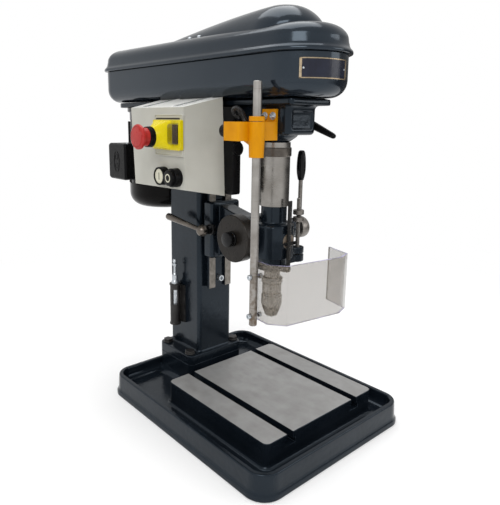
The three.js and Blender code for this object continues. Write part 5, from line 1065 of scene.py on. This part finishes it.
heads = []
for y in (-80.5, -63):
    heads.append(turned("washer", washer, 36, "-X", (0, y, 530.6)))
    heads.append(turned("hex", hexagon, 6, "-X", (0, y, 530.6)))
detail(sharp(merged("bracket_screws", *heads)), "guard_bracket", zinc)

# Short stub of the guard's switch at the back of the bracket
rows = [(0, 38), (8, 38.4), (9.6, 39.6), (10.2, 41.5), (10.2, 52.6), (0, 52.6)]
dress(sharp(turned("switch_stub", rows, 48, "-Y", (-103, 0, 508)), 50), "guard_switch")


# Ribbed cable between the mount and the bracket, on the route of the CAD node
def cable_piece():
    way = [Vector(point) for point in (
        (-52, -16.5, 530), (-56, -18, 530.5), (-62.5, -18.5, 533.5), (-67.5, -21, 538.5), (-70.5, -27, 541.5),
        (-72.5, -35, 541.8), (-74, -43, 538.5), (-75, -50, 532.5), (-75.5, -54.5, 526), (-75.5, -57, 521.6))]
    path = []
    for i in range(len(way) - 1):
        p0, p1, p2, p3 = way[max(i - 1, 0)], way[i], way[i + 1], way[min(i + 2, len(way) - 1)]
        for t in [k / 12 for k in range(12)]:
            path.append(0.5 * (2 * p1 + (p2 - p0) * t + (2 * p0 - 5 * p1 + 4 * p2 - p3) * t * t
                               + (3 * p1 - p0 - 3 * p2 + p3) * t ** 3))
    path.append(way[-1])
    lengths = [0.0]
    for a, b in zip(path, path[1:]):
        lengths.append(lengths[-1] + (b - a).length)
    count, rings, side = 130, [], Vector((1, 0, 0))
    for i in range(count + 1):
        s = lengths[-1] * i / count
        j = min(max(k for k in range(len(lengths)) if lengths[k] <= s), len(path) - 2)
        t = (s - lengths[j]) / (lengths[j + 1] - lengths[j])
        centre = path[j].lerp(path[j + 1], t)
        ahead_of = (path[j + 1] - path[j]).normalized()
        side = (side - ahead_of * side.dot(ahead_of)).normalized()
        other = ahead_of.cross(side)
        r = 3.4 + (0.8 if 3 < i < count - 3 and i % 4 in (1, 2) else 0)
        turns = [2 * pi * k / 20 for k in range(20)]
        rings.append([tuple(centre + (side * cos(a) + other * sin(a)) * r) for a in turns])
    dress(sharp(skin("ribbed_cable", rings), 30), "corrugated_cable", cable_black)


cable_piece()

# Tool holder and the tool in it
cup = turned("cup", [
    (0, 122.4), (10.6, 122.4), (11.2, 123), (11.2, 125.8), (10.4, 126.4), (10, 126.6), (10, 203.2),
    (10.4, 203.5), (11.2, 204), (11.2, 206.8), (10.6, 207.4), (7.6, 207.4), (7.6, 127.4), (0, 127.4)
], 56, at=TOOL)
join(cup, block("back", TOOL_X + 9.4, TOOL_X + 12.4, TOOL_Y - 18, TOOL_Y + 18, 127.4, 203.4),
     block("bridge", TOOL_X + 8.6, TOOL_X + 11, TOOL_Y - 6, TOOL_Y + 6, 127.4, 203.4))
cut(cup, block("window", TOOL_X - 11, TOOL_X, TOOL_Y - 11, TOOL_Y - 3.8, 164.9, 195.4))
dress(edges(cup, 0.5), "tool_holder")
tool = turned("tool", [
    (0, 147.4), (6.6, 147.4), (7.2, 148.4), (7.2, 211.4), (6.4, 212.6), (5.6, 213.8), (5.6, 223.4),
    (4.8, 224.2), (4.2, 225), (2.9, 227.6), (2.6, 228.2), (2.6, 242.6), (3.4, 243.2), (5.0, 243.8),
    (5.0, 246.6), (3.4, 247.4), (2.6, 247.8), (3.4, 249.6), (4.2, 251.6), (4.0, 254.2), (2.8, 255.8),
    (0, 256.4)
], 40, at=TOOL)
dress(sharp(tool, 40), "stored_tool")

# Inner pieces and the rest, with rounded edges
replaced = {name for obj in scene.objects for name in obj.get("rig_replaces", [])}
for name in sorted(set(nodes) - replaced):
    dress(edges(copied(f"{name}_form", name), 0.3), name)


# Studio: floor, lamps, world and camera
def seen_directly(tree):
    """Two shares: 1 for rays from the camera or through glass, and 1 for those that gloss throws back."""
    path = add(tree, "LightPath").outputs
    return reckon(tree, "MAXIMUM", path["Is Camera Ray"], path["Is Transmission Ray"]), path["Is Glossy Ray"]


def pick(tree, share, first, second):
    return add(tree, "MixShader", {0: share, 1: first, 2: second}).outputs[0]


# The floor keeps the object's shadow and fades to white; other rays find it matt
floor_mat, tree, shader = material("studio_floor")
for key, value in (("Base Color", (0.86, 0.86, 0.86)), ("Roughness", 0.9), ("Specular IOR Level", 0.0)):
    feed(tree, shader.inputs[key], value)
matt = shader.outputs[0]
glow, pale = [add(tree, "Emission", {"Color": (1, 1, 1), "Strength": power}).outputs[0]
              for power in (0.16, 1.0)]
lit = add(tree, "AddShader", {0: matt, 1: glow}).outputs[0]
place = add(tree, "TexCoord").outputs["Object"]
length = add(tree, "VectorMath", {0: place}, operation="LENGTH").outputs["Value"]
far = pick(tree, spread(tree, length, 0, 1, 0.35, 1.3, "SMOOTHSTEP"), lit, pale)
direct, glossy = seen_directly(tree)
shown = pick(tree, reckon(tree, "MAXIMUM", direct, glossy), matt, far)
tree.links.new(shown, tree.nodes["Material Output"].inputs["Surface"])
turns = [pi * k / 48 for k in range(96)]
rim = [(1500 * cos(a), 1500 * sin(a), -0.4) for a in turns]
floor = make("floor", rim, [tuple(range(96))])
floor.data.materials.append(floor_mat)
floor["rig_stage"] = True

world = bpy.data.worlds.new("studio")
scene.world = world
world.use_nodes = True
tree = world.node_tree
axes = add(tree, "SeparateXYZ", {0: add(tree, "TexCoord").outputs["Generated"]}).outputs
direct, glossy = seen_directly(tree)


def backdrop(strength):
    return add(tree, "Background", {"Color": (1, 1, 1), "Strength": strength}).outputs[0]


# Soft light from above for matt surfaces; a pale room, shaded on the right, for gloss; white for the camera
soft = backdrop(spread(tree, axes["Z"], 0.34, 0.85, 0.0, 0.9))
room = spread(tree, axes["Z"], 1.05, 0.66, -0.1, 0.7)
shade = multiply(tree, spread(tree, axes["X"], 0.0, 0.92, 0.3, 0.8),
                 spread(tree, axes["Z"], 1.0, 0.0, 0.05, 0.5))
mirrored = backdrop(multiply(tree, room, reckon(tree, "SUBTRACT", 1.0, shade)))
shown = pick(tree, direct, pick(tree, glossy, soft, mirrored), backdrop(1.0))
tree.links.new(shown, tree.nodes["World Output"].inputs["Surface"])


def softbox(name, at, toward, size, power):
    lamp = bpy.data.lights.new(name, "AREA")
    lamp.shape, lamp.size, lamp.size_y, lamp.energy = "RECTANGLE", size[0], size[1], power
    obj = bpy.data.objects.new(name, lamp)
    scene.collection.objects.link(obj)
    obj.location = at
    obj.rotation_mode = "QUATERNION"
    obj.rotation_quaternion = (Vector(toward) - Vector(at)).to_track_quat("-Z", "Y")


softbox("key", (-1.9, -1.3, 1.9), (0, 0, 0.35), (1.4, 1.4), 26)
softbox("fill", (1.6, -2.0, 1.1), (0, 0, 0.35), (1.2, 1.2), 9)
softbox("top", (0.2, 0.5, 2.4), (0, 0, 0.3), (1.8, 1.8), 22)

# Camera as fitted to the photograph, in degrees, pixels and metres
YAW, PITCH, ROLL = -40.70, 11.67, 0.60
SENSOR, FOCAL_PIXELS, PHOTO_PIXELS = 36, 521.59, 505
lens = bpy.data.cameras.new("camera")
lens.sensor_width, lens.lens = SENSOR, FOCAL_PIXELS * SENSOR / PHOTO_PIXELS
lens.shift_x, lens.shift_y = 0.03986, -0.04576
camera = bpy.data.objects.new("camera", lens)
scene.collection.objects.link(camera)
camera.rotation_mode = "QUATERNION"
camera.rotation_quaternion = (spin(YAW, "Z") @ spin(90 - PITCH, "X") @ spin(ROLL, "Z")).to_quaternion()
camera.location = (-0.61817, -0.65485, 0.52137)
lens.clip_start, lens.clip_end = 0.02, 50
scene.camera = camera
scene.view_settings.view_transform = "Standard"

# Bounds of the dressed part
low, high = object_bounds()
